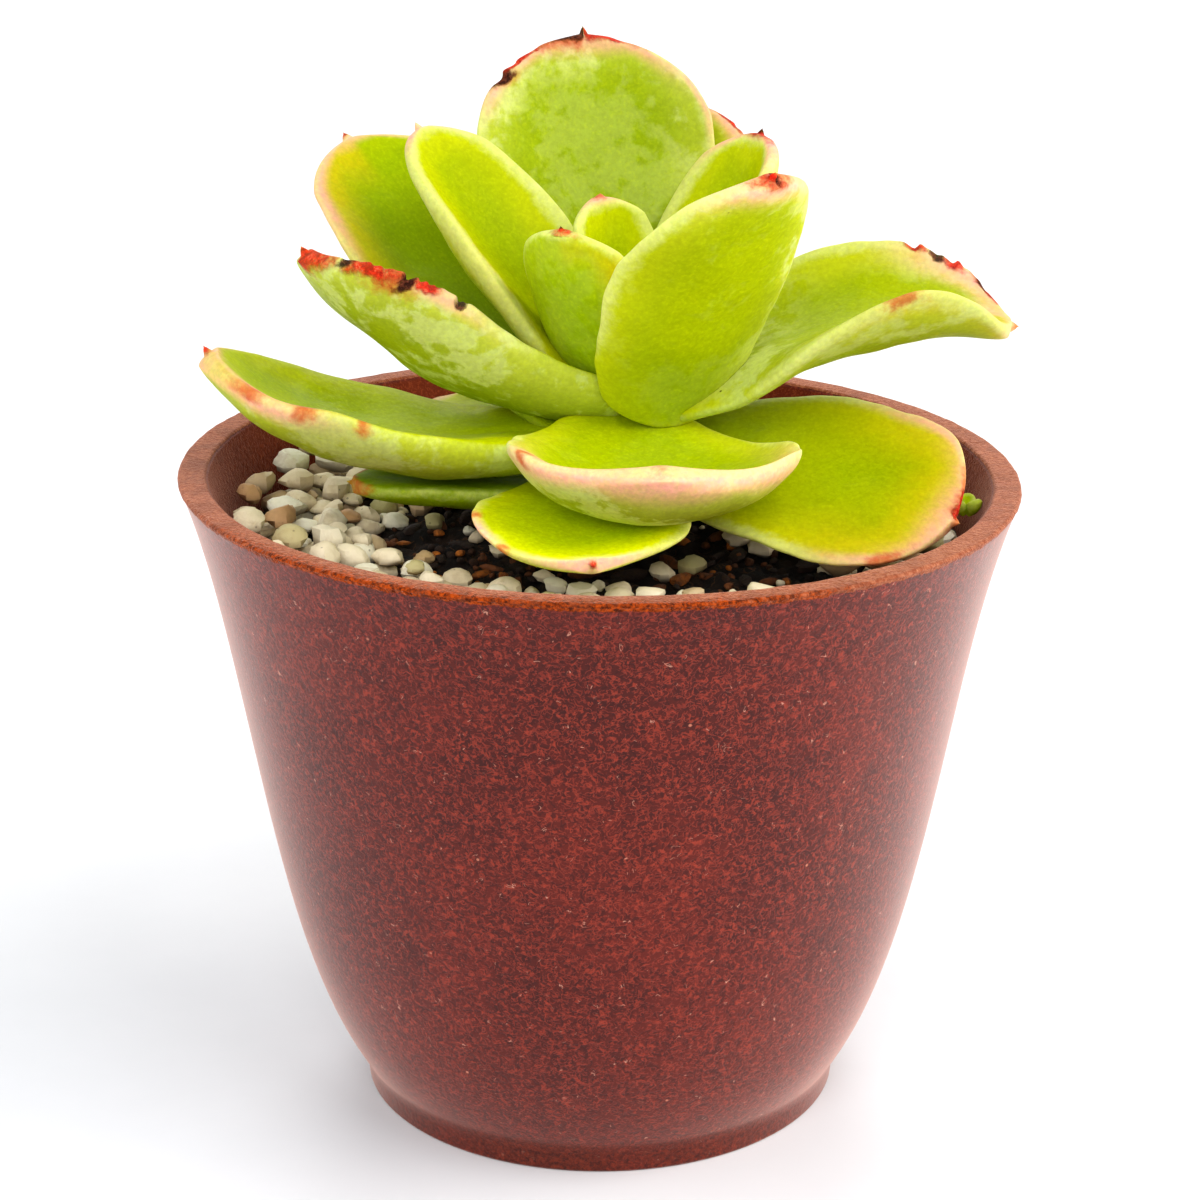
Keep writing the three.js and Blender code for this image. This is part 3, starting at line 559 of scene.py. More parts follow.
LEAVES = {
    "bud_front": dict(
        root=(4, -0.5, 107), heading=200, rise=(84, 88), length=15, width=9, thick=2.4,
        curl=(50, 50)),
    "bud_back": dict(
        root=(5, 0.5, 107), heading=20, rise=(80, 84), length=18, width=10, thick=2.4,
        curl=(50, 50)),
    "leaf_centre_front": dict(
        root=(2, -3, 105), heading=238, rise=(55, 72), length=31, width=20, thick=3.2,
        curl=(35, 35), neck=0.6, bloom=(0, 0.12), band=0.7, green=0.5, tone=1.12,
        marks=[("scorch", 0, 1.0, 0.012, 1.2), ("red", 0, 0.99, 0.024, 2.2), ("gold", 1, 0.75, 0.2, 6)]),
    "leaf_centre_back": dict(
        root=(3, 2, 106), heading=135, rise=(78, 84), length=27, width=18, thick=3.2,
        curl=(40, 40), blunt=1.7, point=0.5, band=1.6,
        marks=[("chalk", 0, 0.85, 0.25, 2.5), ("pink", 0, 0.98, 0.04, 2.4), ("rust", 0, 1.0, 0.03, 2.2)]),
    # Painted shade: a tone below 1 darkens this leaf, which the lamps above light strongly.
    "leaf_back_top": dict(
        root=(3.5, 3.5, 104.5), heading=104, rise=(41, 84), length=55, width=37, curl=(32, 32),
        widest=0.69, neck=0.32, blunt=1.95, point=0.24, bloom=(0.3, 0.4), band=1.0, green=0.3, tone=0.9,
        marks=[("chalk", 0, 0.85, 0.25, 8.0), ("chalk", 0, 0.26, 0.14, 24.0), ("pink", 0, 0.95, 0.09, 5.0),
               ("pink", 1, 0.84, 0.06, 3.5), ("pink", -1, 0.8, 0.12, 1.4),
               ("red", 1, 0.91, 0.05, 1.4), ("red", -1, 0.97, 0.035, 2.6),
               ("scorch", 1, 0.87, 0.022, 3.4), ("scorch", 1, 0.98, 0.02, 3.0),
               ("rust", 1, 0.965, 0.035, 6), ("rust", 1, 0.865, 0.022, 5)]),
    "leaf_right_inner": dict(
        root=(7, 1, 105), heading=42, rise=(52, 64), length=41, width=22, curl=(25, 80),
        blunt=1.8, band=2.2,
        marks=[("pink", 0, 0.95, 0.1, 2.2), ("red", 0, 0.99, 0.035, 2.4), ("scorch", 0, 1.0, 0.02, 1.2)]),
    "leaf_front_right": dict(
        root=(8.9, -5.6, 103.2), heading=290, rise=(60, 51), length=48.6, width=29, curl=(25, 25),
        widest=0.5, neck=0.62, bend=20, blunt=2.6, bloom=(0.06, 0.14), band=1.1, tone=1.08,
        marks=[("chalk", 1, 0.6, 0.4, 9.0), ("chalk", 0, 0.95, 0.14, 6.0),
               ("pink", 0, 0.97, 0.07, 6.5), ("red", 0, 1.0, 0.028, 3.4), ("rust", 0, 0.98, 0.022, 5),
               ("scorch", 1, 0.98, 0.006, 2.4)]),
    "leaf_left_inner": dict(
        root=(3, -3, 104), heading=151, rise=(42, 54), length=50, width=23, curl=(60, 45),
        roll=-14, neck=0.55, blunt=1.8, bloom=(0.0, 0.7), band=1.7, tone=0.94,
        marks=[("chalk", -1, 0.7, 0.3, 2.5), ("pink", 0, 0.98, 0.05, 1.4), ("gold", 1, 0.5, 0.25, 3.0)]),
    "leaf_back_right": dict(
        root=(6, 4, 101), heading=72, rise=(48, 60), length=49, width=24,
        bloom=(0.4, 0.35), marks=[("pink", 0, 0.9, 0.25, 4.2), ("red", -1, 0.93, 0.05, 1.2)]),
    "leaf_left_back": dict(
        root=(1, 2.5, 98.5), heading=144, rise=(30, 46), length=61, width=37, curl=(30, 25),
        roll=-8, band=0.8, green=0.45,
        marks=[("gold", 1, 0.85, 0.35, 12), ("pink", 1, 0.84, 0.2, 3.6), ("pink", 0, 0.97, 0.07, 2.6),
               ("red", 0, 1.0, 0.015, 1.2)]),
    "leaf_left_mid": dict(
        root=(3, -2, 104), heading=184, rise=(2, 54), length=52, width=30, curl=(50, 30),
        roll=23, neck=0.58, bloom=(0.1, 1.2), band=0.6, tone=1.02, dotted=1.0,
        marks=[("pink", 1, 0.66, 0.16, 2.6), ("red", 1, 0.98, 0.06, 5.4), ("red", 1, 0.85, 0.07, 3.4),
               ("red", 1, 0.7, 0.05, 1.8), ("rust", 1, 0.78, 0.08, 6.0), ("rust", -1, 0.95, 0.06, 1.2),
               ("scorch", 1, 0.91, 0.012, 1.8), ("scorch", 1, 0.75, 0.02, 4.0),
               ("scorch", 1, 0.57, 0.018, 1.4)]),
    "leaf_right_wavy": dict(
        root=(8, 0, 102), heading=0, rise=(38, -10), length=54, width=36, curl=(63, 30),
        ripple=-4.5, bloom=(0.04, 0.65), band=1.4, tone=0.94, dotted=0.8,
        marks=[("chalk", 0, 0.3, 0.12, 24.0), ("chalk", 1, 0.85, 0.14, 11.0),
               ("pink", 1, 0.86, 0.14, 7.5), ("gold", 0, 0.98, 0.1, 7), ("pink", 0, 1.0, 0.05, 3.0),
               ("red", 1, 0.75, 0.03, 1.8), ("red", 1, 0.84, 0.03, 3.4), ("red", 1, 0.92, 0.035, 2.6),
               ("gold", -1, 0.7, 0.14, 3.0), ("rust", -1, 0.68, 0.05, 1.6),
               ("scorch", 1, 0.8, 0.018, 3.2), ("scorch", 1, 0.91, 0.012, 2.6),
               ("rust", 0, 1.0, 0.02, 2.0)]),
    # Painted light: the tone and an outer bloom above 1 lighten the downward outer face, which lies in
    # shade; the bloom is also the leaf's own pale powder.
    "leaf_front_mid": dict(
        root=(3.3, -2, 102.5), heading=277, rise=(-18, 70), length=44, width=42, thick=5.2,
        curl=(26, 44), roll=-2, rise_shape=2.4, widest=0.6, neck=0.4, blunt=2.6, point=0.0,
        lifts=[(1, 0.5, 0.2, 2.6), (1, 0.8, 0.14, 2.6)], bloom=(0.04, 1.4), band=0.7, tone=1.14,
        marks=[("pink", 0, 0.94, 0.34, 6.2), ("rust", -1, 0.76, 0.035, 3.4),
               ("rust", 0, 0.99, 0.014, 4.2)]),
    "leaf_left_low": dict(
        root=(2, -3, 100.5), heading=185, rise=(-8, 55), length=62, width=31, thick=6,
        curl=(45, 26), rise_shape=1.9, neck=0.5, bloom=(0.0, 0.75), green=0.1, band=-0.6,
        tone=1.06, dotted=0.8,
        marks=[("pink", 1, 0.84, 0.14, 3.6), ("rust", 1, 0.75, 0.03, 3.0), ("rust", 1, 0.88, 0.05, 1.8),
               ("rust", 1, 0.6, 0.022, 2.0), ("pink", 0, 0.99, 0.05, 3.0), ("red", 0, 1.0, 0.02, 1.4)]),
    "leaf_right_front": dict(
        root=(8, -3, 98), heading=334, rise=(0, -12), length=46, width=33, thick=4,
        curl=(10, 10), roll=23, blunt=3, neck=0.6, band=1.1, tone=0.88,
        marks=[("gold", 0, 0.98, 0.4, 15), ("pink", 0, 0.99, 0.12, 6.5), ("pink", 1, 0.8, 0.2, 3.0),
               ("pink", -1, 0.84, 0.14, 3.2), ("rust", -1, 0.87, 0.05, 3.4), ("rust", 1, 0.95, 0.04, 3.0),
               ("red", 1, 0.965, 0.015, 1.6), ("rust", 0, 1.0, 0.03, 2.4)]),
    # Painted light: a tone of 1.46 lightens this leaf, which lies in the shade of the leaf above it.
    "leaf_front_low": dict(
        root=(0.5, -4, 94), heading=254, rise=(-4, 2), length=37, width=30, thick=4,
        curl=(15, 15), bend=28, bloom=(0, 0.3), band=0.6, tone=1.46,
        marks=[("gold", -1, 0.75, 0.2, 1.6), ("pink", -1, 0.72, 0.1, 1.5),
               ("rust", -1, 0.62, 0.03, 2.2), ("rust", -1, 0.85, 0.02, 1.6), ("red", 0, 1.0, 0.016, 1.4),
               ("pink", 0, 0.97, 0.04, 0.9)]),
    "leaf_back_mid": dict(
        root=(3, 5, 94), heading=113, rise=(24, 36), length=48, width=28, bloom=(0.2, 0.4),
        marks=[("pink", 0, 0.92, 0.12, 2.8), ("red", 0, 1.0, 0.03, 1.8)]),
    "leaf_back_right_low": dict(
        root=(6, 4.5, 93), heading=62, rise=(0, 0), length=33, width=24, bloom=(0.15, 0.4),
        marks=[("gold", 0, 0.95, 0.2, 6), ("pink", 0, 0.9, 0.14, 2.8), ("red", 0, 0.99, 0.03, 2.0)]),
    # Painted shade: the bloom is left off so that this leaf stays dark in the shade of the leaf above it.
    "leaf_left_bottom": dict(
        root=(0, -3, 92), heading=185, rise=(0, 6), length=36, width=15, thick=4,
        curl=(20, 20), bloom=(0, 0.0), band=0.0, green=0.8,
        marks=[("rust", 0, 0.95, 0.05, 2.2)]),
    "leaf_back_left_low": dict(
        root=(2, 4.5, 92), heading=140, rise=(4, 8), length=36, width=24,
        marks=[("pink", 0, 0.92, 0.1, 2.6), ("red", 0, 1.0, 0.03, 1.6)]),
    "leaf_right_low": dict(
        root=(8, 2, 93), heading=25, rise=(2, 6), length=36, width=22,
        marks=[("pink", 0, 0.92, 0.1, 2.6)]),
}

MARKS = ("chalk", "gold", "pink", "rust", "red", "scorch")
LEAF_STATIONS = 150
LEAF_SIDES = 84
MIDRIB_STEPS = 400
ROOT_ROUND = 0.1
BLADE_END = 0.975  # where the blade's own outline ends and only the fine point goes on
INNER_FULLNESS = 0.7  # the inner face bulges less than the outer one
OUTER_FULLNESS = 1.3
LENS_POWER = 2.8  # how flat the faces stay before they round off to the margin


def blade_share(leaf, u):
    """Half width at u as a share of the widest: a quarter sine wave out to the widest place,
    then a blunt power curve in, a root end that rounds in like a circle, and a fine point."""
    s = np.clip(u / BLADE_END, 0, 1)
    swell = np.sin(np.clip(s / leaf["widest"], 0, 1) * np.pi / 2) ** 1.3
    narrowing = np.clip((s - leaf["widest"]) / (1 - leaf["widest"]), 0, 1)
    inward = np.clip(1 - narrowing ** leaf["blunt"], 0, 1) ** 0.55
    blade = np.where(s < leaf["widest"], leaf["neck"] + (1 - leaf["neck"]) * swell, inward)
    point = leaf["point"] * np.clip((1 - u) / 0.14, 0, 1) * np.clip((u - 0.6) / 0.3, 0, 1)
    root = np.sqrt(1 - (1 - np.clip(u / ROOT_ROUND, 0, 1)) ** 2)
    return np.hypot(blade, point) * np.clip((1 - u) / 0.01, 0, 1) * root


def midrib(leaf, u):
    """Points and side and up directions along the midrib: its heading turns evenly and its rise
    by a power of the length, and short steps in that direction are added up."""
    fine = np.linspace(0, 1, MIDRIB_STEPS + 1)

    def frame_at(share):
        low, high = leaf["rise"]
        pitch = (low + (high - low) * share ** leaf["rise_shape"]) * DEGREE
        heading = (leaf["heading"] + leaf["bend"] * share) * DEGREE
        along = np.stack([np.cos(pitch) * np.cos(heading), np.cos(pitch) * np.sin(heading),
                          np.sin(pitch)], axis=-1)
        across = np.stack([-np.sin(heading), np.cos(heading), 0 * heading], axis=-1)
        return along, across, np.cross(along, across)

    steps = frame_at((fine[1:] + fine[:-1]) / 2)[0] * leaf["length"] / MIDRIB_STEPS
    path = np.vstack([np.zeros(3), np.cumsum(steps, axis=0)]) + np.array(leaf["root"], float)
    at = np.stack([np.interp(u, fine, path[:, axis]) for axis in range(3)], axis=-1)
    along, across, up = frame_at(u)
    return at, across, up


def margin_masks(leaf, u, v, margin):
    """For each colour, how strongly each point carries it: a bell along the margin times a
    smooth fall inwards from it."""
    found = {colour: np.zeros_like(margin) for colour in MARKS}
    for colour, side, place, spread, reach in leaf["marks"]:
        along = np.exp(-((u - place) / spread) ** 2)
        inwards = 1 - smooth(margin, 0.15 * reach, reach)
        beside = np.ones_like(v) if side == 0 else smooth(v * side, -0.1, 0.15)
        if colour == "pink" and reach > 2.5:
            beside = beside * (0.65 + 0.35 * smooth(margin, 0.1, 1.0))
        found[colour] = np.maximum(found[colour], along * inwards * beside)
    return found


def leaf_grid():
    """u runs from root to tip, closer together towards the tip. v, from -1 to 1, runs across
    the leaf, and face is above 0 on the inner face and below 0 on the outer one: they are the
    cosine and sine of a turn round the cross-section."""
    even = np.linspace(0, 1, LEAF_STATIONS + 1)[1:-1]
    u = (0.35 * even + 0.65 * np.sin(even * np.pi / 2))[:, None]
    turn = (2 * np.pi * np.arange(LEAF_SIDES) / LEAF_SIDES)[None, :]
    v = np.broadcast_to(np.cos(turn), (len(u), LEAF_SIDES))
    return u, v, np.broadcast_to(np.sin(turn), v.shape)


def uneven_outline(masks, half_width, track, v, seed):
    """What the half width is multiplied by: 1 plus soft waves along the margin, less the bites
    out of its red and scorched stretches, and none of either at the midrib."""
    wavy = waves(track, 9.0, seed) * 0.014 + waves(track, 3.2, seed + 1) * 0.005
    harmed = np.maximum(masks["red"], masks["scorch"]) * np.minimum(1, half_width / 4)
    nibbled = 0.35 * harmed * (1 + waves(track, 0.8, seed + 2, count=16)) + 0.35 * masks["scorch"]
    return 1 + (wavy - nibbled / np.maximum(half_width, 1)) * np.abs(v)


def face_offset(leaf, u, v, face, widest_half):
    """How far each face lies from the middle of the flesh: a flat lens across the leaf, which
    swells a little after the root and thins to the tip, with a groove along the midrib."""
    swell = 0.85 + 0.15 * np.sin(np.clip(u / 0.4, 0, 1) * np.pi / 2)
    thinning = 1 - 0.45 * np.clip((u - 0.35) / 0.65, 0, 1) ** 1.5
    half = np.minimum(leaf["thick"] / 2 * swell * thinning, widest_half * 0.9)
    lens = np.sqrt(np.clip(1 - np.abs(v) ** LENS_POWER, 0, 1))
    groove = 0.12 * np.exp(-(v / 0.12) ** 2) * np.clip(1 - u, 0, 1)
    return np.sign(face) * lens * half * np.where(face > 0, INNER_FULLNESS - groove, OUTER_FULLNESS)


def leaf_surface(leaf, seed):
    """A closed leaf. Its cross-section is a flat lens with plump margins, bent up into an arc
    on each side of the midrib, rolled, and carried along the midrib. Soft waves make the faces
    and margins uneven, a scorched margin is nibbled back, and lifts raise parts of it."""
    u, v, face = leaf_grid()
    width = leaf["width"] / 2
    share = blade_share(leaf, u)
    half_width = share * width

    end = np.clip((BLADE_END + 0.012 - u) * leaf["length"], 0, None)
    margin = np.minimum((1 - np.abs(v)) * half_width, end)
    masks = margin_masks(leaf, u, v, margin)

    track = np.stack([np.broadcast_to(u * leaf["length"], v.shape), 6 * np.sign(v)], axis=-1)
    offset = face_offset(leaf, u, v, face, share * width)
    half_width = half_width * uneven_outline(masks, half_width, track, v, seed)

    left, right = leaf["curl"]
    bend = np.where(v > 0, max(left, 0.5), max(right, 0.5)) * DEGREE / width
    angle = np.abs(v) * half_width * bend
    ripple = np.where(v < 0, leaf["ripple"], 0.0) * np.sin(2 * np.pi * u) * v * v * half_width / width
    x = np.sign(v) * (np.sin(angle) / bend - np.sin(angle) * offset)
    flutter = 0.5 * waves(track, 11.0, seed + 5) * v * v * share
    for side, place, spread, height in leaf["lifts"]:
        stretch = np.exp(-((u - place) / spread) ** 2) * (v * side > 0)
        flutter = flutter + height * stretch * np.abs(v) ** 5 * share
    z = (1 - np.cos(angle)) / bend + np.cos(angle) * offset + ripple + flutter

    at, across, up = midrib(leaf, u[:, 0])
    roll = leaf["roll"] * DEGREE
    sideways = (x * math.cos(roll) - z * math.sin(roll))[..., None]
    upwards = (x * math.sin(roll) + z * math.cos(roll))[..., None]
    points = at[:, None] + sideways * across[:, None] + upwards * up[:, None]
    dents = waves(points, 9.0, seed + 3) * 0.28 + waves(points, 3.0, seed + 4) * 0.06
    points = points + (dents * smooth(margin, 0.0, 3.0) * share)[..., None] * up[:, None]

    masks["margin"] = margin
    inner_bloom, outer_bloom = leaf["bloom"]
    masks["bloom"] = outer_bloom + (inner_bloom - outer_bloom) * smooth(face, -0.12, 0.12)
    for name in ("dotted", "green", "tone"):
        masks[name] = np.full_like(margin, leaf[name])
    masks["band"] = leaf["band"] - (leaf["band"] + 2) * (1 - smooth(u, 0.12, 0.4)) + 0 * margin
    ends = midrib(leaf, np.array([0.0, 1.0]))[0]
    return closed(points, ends), {name: with_ends(mask) for name, mask in masks.items()}


def closed(points, ends):
    """Ring points with the two end points before and after them, as one list."""
    return np.vstack([ends[:1], points.reshape(-1, 3), ends[1:]])


def with_ends(mask):
    """A mask's values with those for the two end points, taken from the rings beside them."""
    return np.concatenate([[mask[0].mean()], mask.ravel(), [mask[-1].mean()]])


def add_leaves(material):
    """Every bud and leaf, from the one formula with its own values and its own seeds."""
    faces = tube_faces(LEAF_STATIONS - 1, LEAF_SIDES)
    for number, (node, own) in enumerate(LEAVES.items()):
        leaf = {**PLAIN_LEAF, **own}
        points, masks = leaf_surface(leaf, seed=100 + 10 * number)
        name = node.replace("leaf_", "blade_").replace("bud_", "young_leaf_")
        add_piece(name, points, faces, material, [node], masks)


# ---- Pot, soil and stem ----------------------------------------------------------------------


def outer_radius(z):
    """The pot's outside: a straight taper, rounded out above the foot by a fading exponential,
    and flared at the rim by a high power of the height."""
    t = np.asarray(z, float) - BODY_START
    full = POT_HEIGHT - BODY_START

    def plain(height):
        rounding = FOOT_ROUND * (1 - np.exp(-height / FOOT_ROUND_LENGTH))
        return FOOT_RADIUS + FOOT_STEP + TAPER * height + rounding

    return plain(t) + (RIM_RADIUS - plain(full)) * (np.clip(t, 0, None) / full) ** FLARE_POWER


def inner_radius(z):
    """The pot's inside: its outside less the wall."""
    return outer_radius(z) - WALL


def arc(centre, radius, start, end, count):
    """Points on a circle from one angle to another, in degrees, as radius and height."""
    angle = np.linspace(start, end, count) * DEGREE
    return np.stack([centre[0] + radius * np.cos(angle), centre[1] + radius * np.sin(angle)], axis=1)


def pot_profile():
    """The pot's section from the drain hole out under the foot, up the outside, over the
    rounded rim and down the inside: radius and height of each point."""
    lip = 0.55  # the radius of the rim's rounded edges, and then those of the foot and the hole
    foot = 0.5
    hole_edge = 0.6
    heights = BODY_START + (POT_HEIGHT - 2 - BODY_START) * np.linspace(0.004, 1, 80) ** 1.15
    heights = np.append(heights, np.linspace(POT_HEIGHT - 1.8, POT_HEIGHT - lip, 9))
    outside = np.stack([outer_radius(heights), heights], axis=1)
    depths = (POT_HEIGHT - lip - FLOOR_TOP - 2.2) * np.linspace(0, 1, 60) ** 1.8
    inside_heights = POT_HEIGHT - lip - depths
    inside = np.stack([inner_radius(inside_heights), inside_heights], axis=1)
    ring = FOOT_RADIUS - FOOT_RING
    under = [(DRAIN_RADIUS + hole_edge, RECESS_DEPTH), (ring - RECESS_DEPTH - 0.6, RECESS_DEPTH),
             (ring - RECESS_DEPTH + 0.4, RECESS_DEPTH - 0.4), (ring - 0.3, 0.12)]
    band = [(FOOT_RADIUS + 0.2, FOOT_BAND - 1.5), (FOOT_RADIUS + 0.65, FOOT_BAND)]
    floor_edge = inner_radius(FLOOR_TOP)
    floor = [(floor_edge - 2.0, FLOOR_TOP + 0.3), (floor_edge - 3.5, FLOOR_TOP)]
    return np.vstack([
        under,
        [(ring + 0.4, 0.0)],
        arc((FOOT_RADIUS - foot, foot), foot, -90, 0, 6),
        band,
        outside,
        arc((RIM_RADIUS - lip, POT_HEIGHT - lip), lip, 5, 90, 9),
        arc((RIM_RADIUS - WALL + lip, POT_HEIGHT - lip), lip, 90, 175, 9),
        inside,
        floor,
        [(DRAIN_RADIUS + hole_edge, FLOOR_TOP), (DRAIN_RADIUS, FLOOR_TOP - hole_edge),
         (DRAIN_RADIUS, RECESS_DEPTH + hole_edge)],
    ])


def pot_masks(radius, height, ring):
    """Where the pot's finishes lie, and its painted colour against the light, each an S-curve of the
    height, radius or direction: the inside, the rim, the rim's worn front, the stained foot, and
    the shaded wall just above it, painted redder to hide the floor's pale reflection."""
    outside = np.arange(len(height)) <= np.argmax(height)
    inside = np.where(outside, 0.0, smooth(-height, 0.2 - POT_HEIGHT, 0.8 - POT_HEIGHT))
    outer_edge = smooth(height, POT_HEIGHT - 2.0, POT_HEIGHT - 0.3)
    inner_edge = smooth(height, POT_HEIGHT - 0.6, POT_HEIGHT - 0.15)
    front = smooth(-ring[:, 1] - 0.25 * ring[:, 0], 0.3, 0.95)
    front_left = smooth(-ring[:, 1] - 0.8 * ring[:, 0], 0.75, 1.2)
    worn = smooth(radius[:, None] + 2.0 * front_left[None, :], RIM_RADIUS - 1.1, RIM_RADIUS - 0.3)
    worn = (0.4 + 0.6 * worn) * front[None, :] * smooth(height, 50.0, 60.0)[:, None]
    low = smooth(-height, -FOOT_BAND - 1.6, -FOOT_BAND + 0.6)
    rows = {"inside": inside, "rim": np.where(outside, outer_edge, inner_edge),
            "foot": np.where(outside, low, 0.0),
            "shaded": np.where(outside, 1 - smooth(height, FOOT_BAND, 30.0), 0.0)}
    masks = {name: np.broadcast_to(row[:, None], worn.shape) for name, row in rows.items()}
    return {**masks, "worn": worn}


def add_pot(material):
    """The profile is carried round the axis. Slow waves make the wall a little uneven, fine
    ones roughen the rim, and the upper part is tilted so that the rim isn't level."""
    sides = 320
    profile = pot_profile()
    radius, height = profile.T
    turn = 2 * np.pi * np.arange(sides) / sides
    ring = np.stack([np.cos(turn), np.sin(turn)], axis=1)
    flat = radius[:, None, None] * ring[None]
    tall = np.broadcast_to(height[:, None, None], flat.shape[:2] + (1,))
    points = np.concatenate([flat, tall], axis=2)
    on_rim = smooth(height, POT_HEIGHT - 2.2, POT_HEIGHT - 0.6)[:, None]
    body = smooth(height, FOOT_BAND + 1, 20.0)[:, None]
    sway = -0.12 * body * (1 + waves(points, 34.0, 7)) - 0.03 * on_rim * (1 + waves(points, 1.6, 8))
    points[..., :2] *= (1 + sway / np.maximum(radius, 1)[:, None])[..., None]
    points[..., 2] -= 0.04 * on_rim * (1 + waves(points, 2.1, 9))
    tilt = RIM_LEFT_RISE * points[..., 0] + RIM_FRONT_RISE * points[..., 1]
    points[..., 2] -= smooth(height, 60.0, POT_HEIGHT)[:, None] * tilt / RIM_RADIUS
    masks = pot_masks(radius, height, ring)
    faces = looped_faces(len(profile), sides)
    add_piece("pot_shell", points.reshape(-1, 3), faces, material, ["pot"], masks)


def soil_height(radius):
    """The soil's top: a low mound that falls off with the square of the radius."""
    return SOIL_EDGE + SOIL_RISE * (1 - (radius / inner_radius(SOIL_EDGE)) ** 2)


def turned_solid(profile, sides, centre=(0.0, 0.0)):
    """A profile of radius and height carried round an upright axis: its inner points make the
    rings, and its two ends are the poles."""
    turn = 2 * np.pi * np.arange(sides) / sides
    ring = np.stack([np.cos(turn), np.sin(turn)], axis=1)
    rows = profile[1:-1]
    flat = rows[:, 0][:, None, None] * ring[None] + np.array(centre)
    tall = np.broadcast_to(rows[:, 1][:, None, None], flat.shape[:2] + (1,))
    ends = np.array([[*centre, profile[0][1]], [*centre, profile[-1][1]]])
    return np.concatenate([flat, tall], axis=2), ends


def add_soil(material):
    """The pot's filling: its top is the mound plus layers of ever finer random waves."""
    bottom = FLOOR_TOP + GAP
    low = [(0, bottom), (20.0, bottom), (inner_radius(bottom) - 2.4, bottom)]
    walls = [(inner_radius(z) - 1.0, z) for z in np.linspace(bottom + 2, SOIL_EDGE - 1.2, 14)]
    edge = inner_radius(SOIL_EDGE) - 1.0
    tops = [(radius, soil_height(radius)) for radius in np.linspace(edge, 0.4, 110)]
    profile = np.array(low + walls + tops + [(0, soil_height(0))])
    sides = 260
    rings, ends = turned_solid(profile, sides)
    lumps = waves(rings, 6.0, 20) * 0.5 + waves(rings, 2.2, 21) * 0.42 + waves(rings, 0.9, 22) * 0.22
    loose = smooth(rings[..., 2], SOIL_EDGE - 0.8, SOIL_EDGE - 0.1)
    rings[..., 2] += loose * (lumps - 0.3)
    faces = [face[::-1] for face in tube_faces(len(rings), sides)]
    add_piece("soil_bed", closed(rings, ends), faces, material, ["soil"])


def add_stem(material):
    """A stubby stem, ringed by the scars of old leaves: its radius swings with height."""
    foot = soil_height(0) + GAP + 0.1
    heights = np.linspace(foot, STEM_TOP, 70)
    share = (heights - foot) / (STEM_TOP - foot)
    radius = STEM_RADIUS * (1.08 - 0.22 * share) * np.sqrt(np.clip(1 - share ** 9, 0, 1))
    radius *= 1 + 0.03 * np.sin(heights * 2.4)
    profile = np.stack([radius, heights], axis=1)
    sides = 60
    rings, ends = turned_solid(profile, sides, (STEM_X, 0.0))
    rings[..., :2] += (0.12 * waves(rings, 2.5, 31))[..., None]
    faces = [face[::-1] for face in tube_faces(len(rings), sides)]
    add_piece("stem_core", closed(rings, ends), faces, material, ["stem"])


def add_sprout(material):
    """A tiny seedling by the wall: three plump leaves, each a small leaf of the same shape."""
    seedling = dict(PLAIN_LEAF, length=3.2, width=2.4, thick=1.3, curl=(20, 20), point=0.1,
                    bloom=(0, 0), green=0.6, dotted=0, band=0.0)
    base = np.array([52.0, -3.6, soil_height(52.0) + 5.4])
    faces = tube_faces(LEAF_STATIONS - 1, LEAF_SIDES)
    for number, heading in enumerate((80, 200, 320)):
        leaf = dict(seedling, root=tuple(base), heading=heading, rise=(30, 60 + 5 * number))
        points, masks = leaf_surface(leaf, seed=900 + number)
        add_piece(f"sprout_{number + 1}", points, faces, material, masks=masks)


# ---- Stones and chips ------------------------------------------------------------------------

CORNER_POWER = 22  # the higher, the sharper a stone's corners
PEBBLE_SHARE = 0.9  # how much of a solid pebble's box its fine stone fills
SETTLED = 0.75  # how high a stone's middle lies above the ground, in half heights
GRAVEL_REACH = 51.3  # how far out from the axis the gravel's stones reach
PILE_REACH = 53.4


def stone_points(rng, half_sizes, rings, sides, flats=7):
    """A worn stone about the origin: a ball whose radius in each direction is cut down by a few
    random planes, softly, so that it keeps rounded corners between its flats."""
    rise = np.linspace(-np.pi / 2, np.pi / 2, rings + 2)[1:-1]
    turn = 2 * np.pi * np.arange(sides) / sides
    lift, around = np.meshgrid(rise, turn, indexing="ij")
    ball = np.stack([np.cos(lift) * np.cos(around), np.cos(lift) * np.sin(around), np.sin(lift)], axis=-1)
    ball = closed(ball, np.array([[0, 0, -1.0], [0, 0, 1.0]]))
    normals = rng.normal(size=(flats, 3))
    normals /= np.linalg.norm(normals, axis=1)[:, None]
    depth = rng.uniform(0.5, 0.86, flats)
    reach = np.clip(ball @ normals.T, 0.05, None) / depth
    radius = (1 + (reach ** CORNER_POWER).sum(axis=1)) ** (-1 / CORNER_POWER)
    shaped = ball * radius[:, None]
    shaped /= np.abs(shaped).max(axis=0)
    return shaped * half_sizes


def turned_about_z(points, angle):
    """Points turned about the upright axis."""
    c, s = math.cos(angle), math.sin(angle)
    return points @ np.array([[c, s, 0], [-s, c, 0], [0, 0, 1.0]])


def foot_darkening(points, half_sizes):
    """How much darker brown a stone is made towards its foot: fully at its foot, and none in its
    upper third, with an S-curve between."""
    return 1 - smooth(points[:, 2] / half_sizes[2], -0.75, 0.25)


def solid_pebbles():
    """The solid model's pebbles by their numbers: the name of each, and the low and the high
    corner of its box in millimetres."""
    names = [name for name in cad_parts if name.startswith("pebble_")]
    names.sort(key=lambda name: int(name.removeprefix("pebble_")))
    return [(name, *(np.array(corner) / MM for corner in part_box(name))) for name in names]


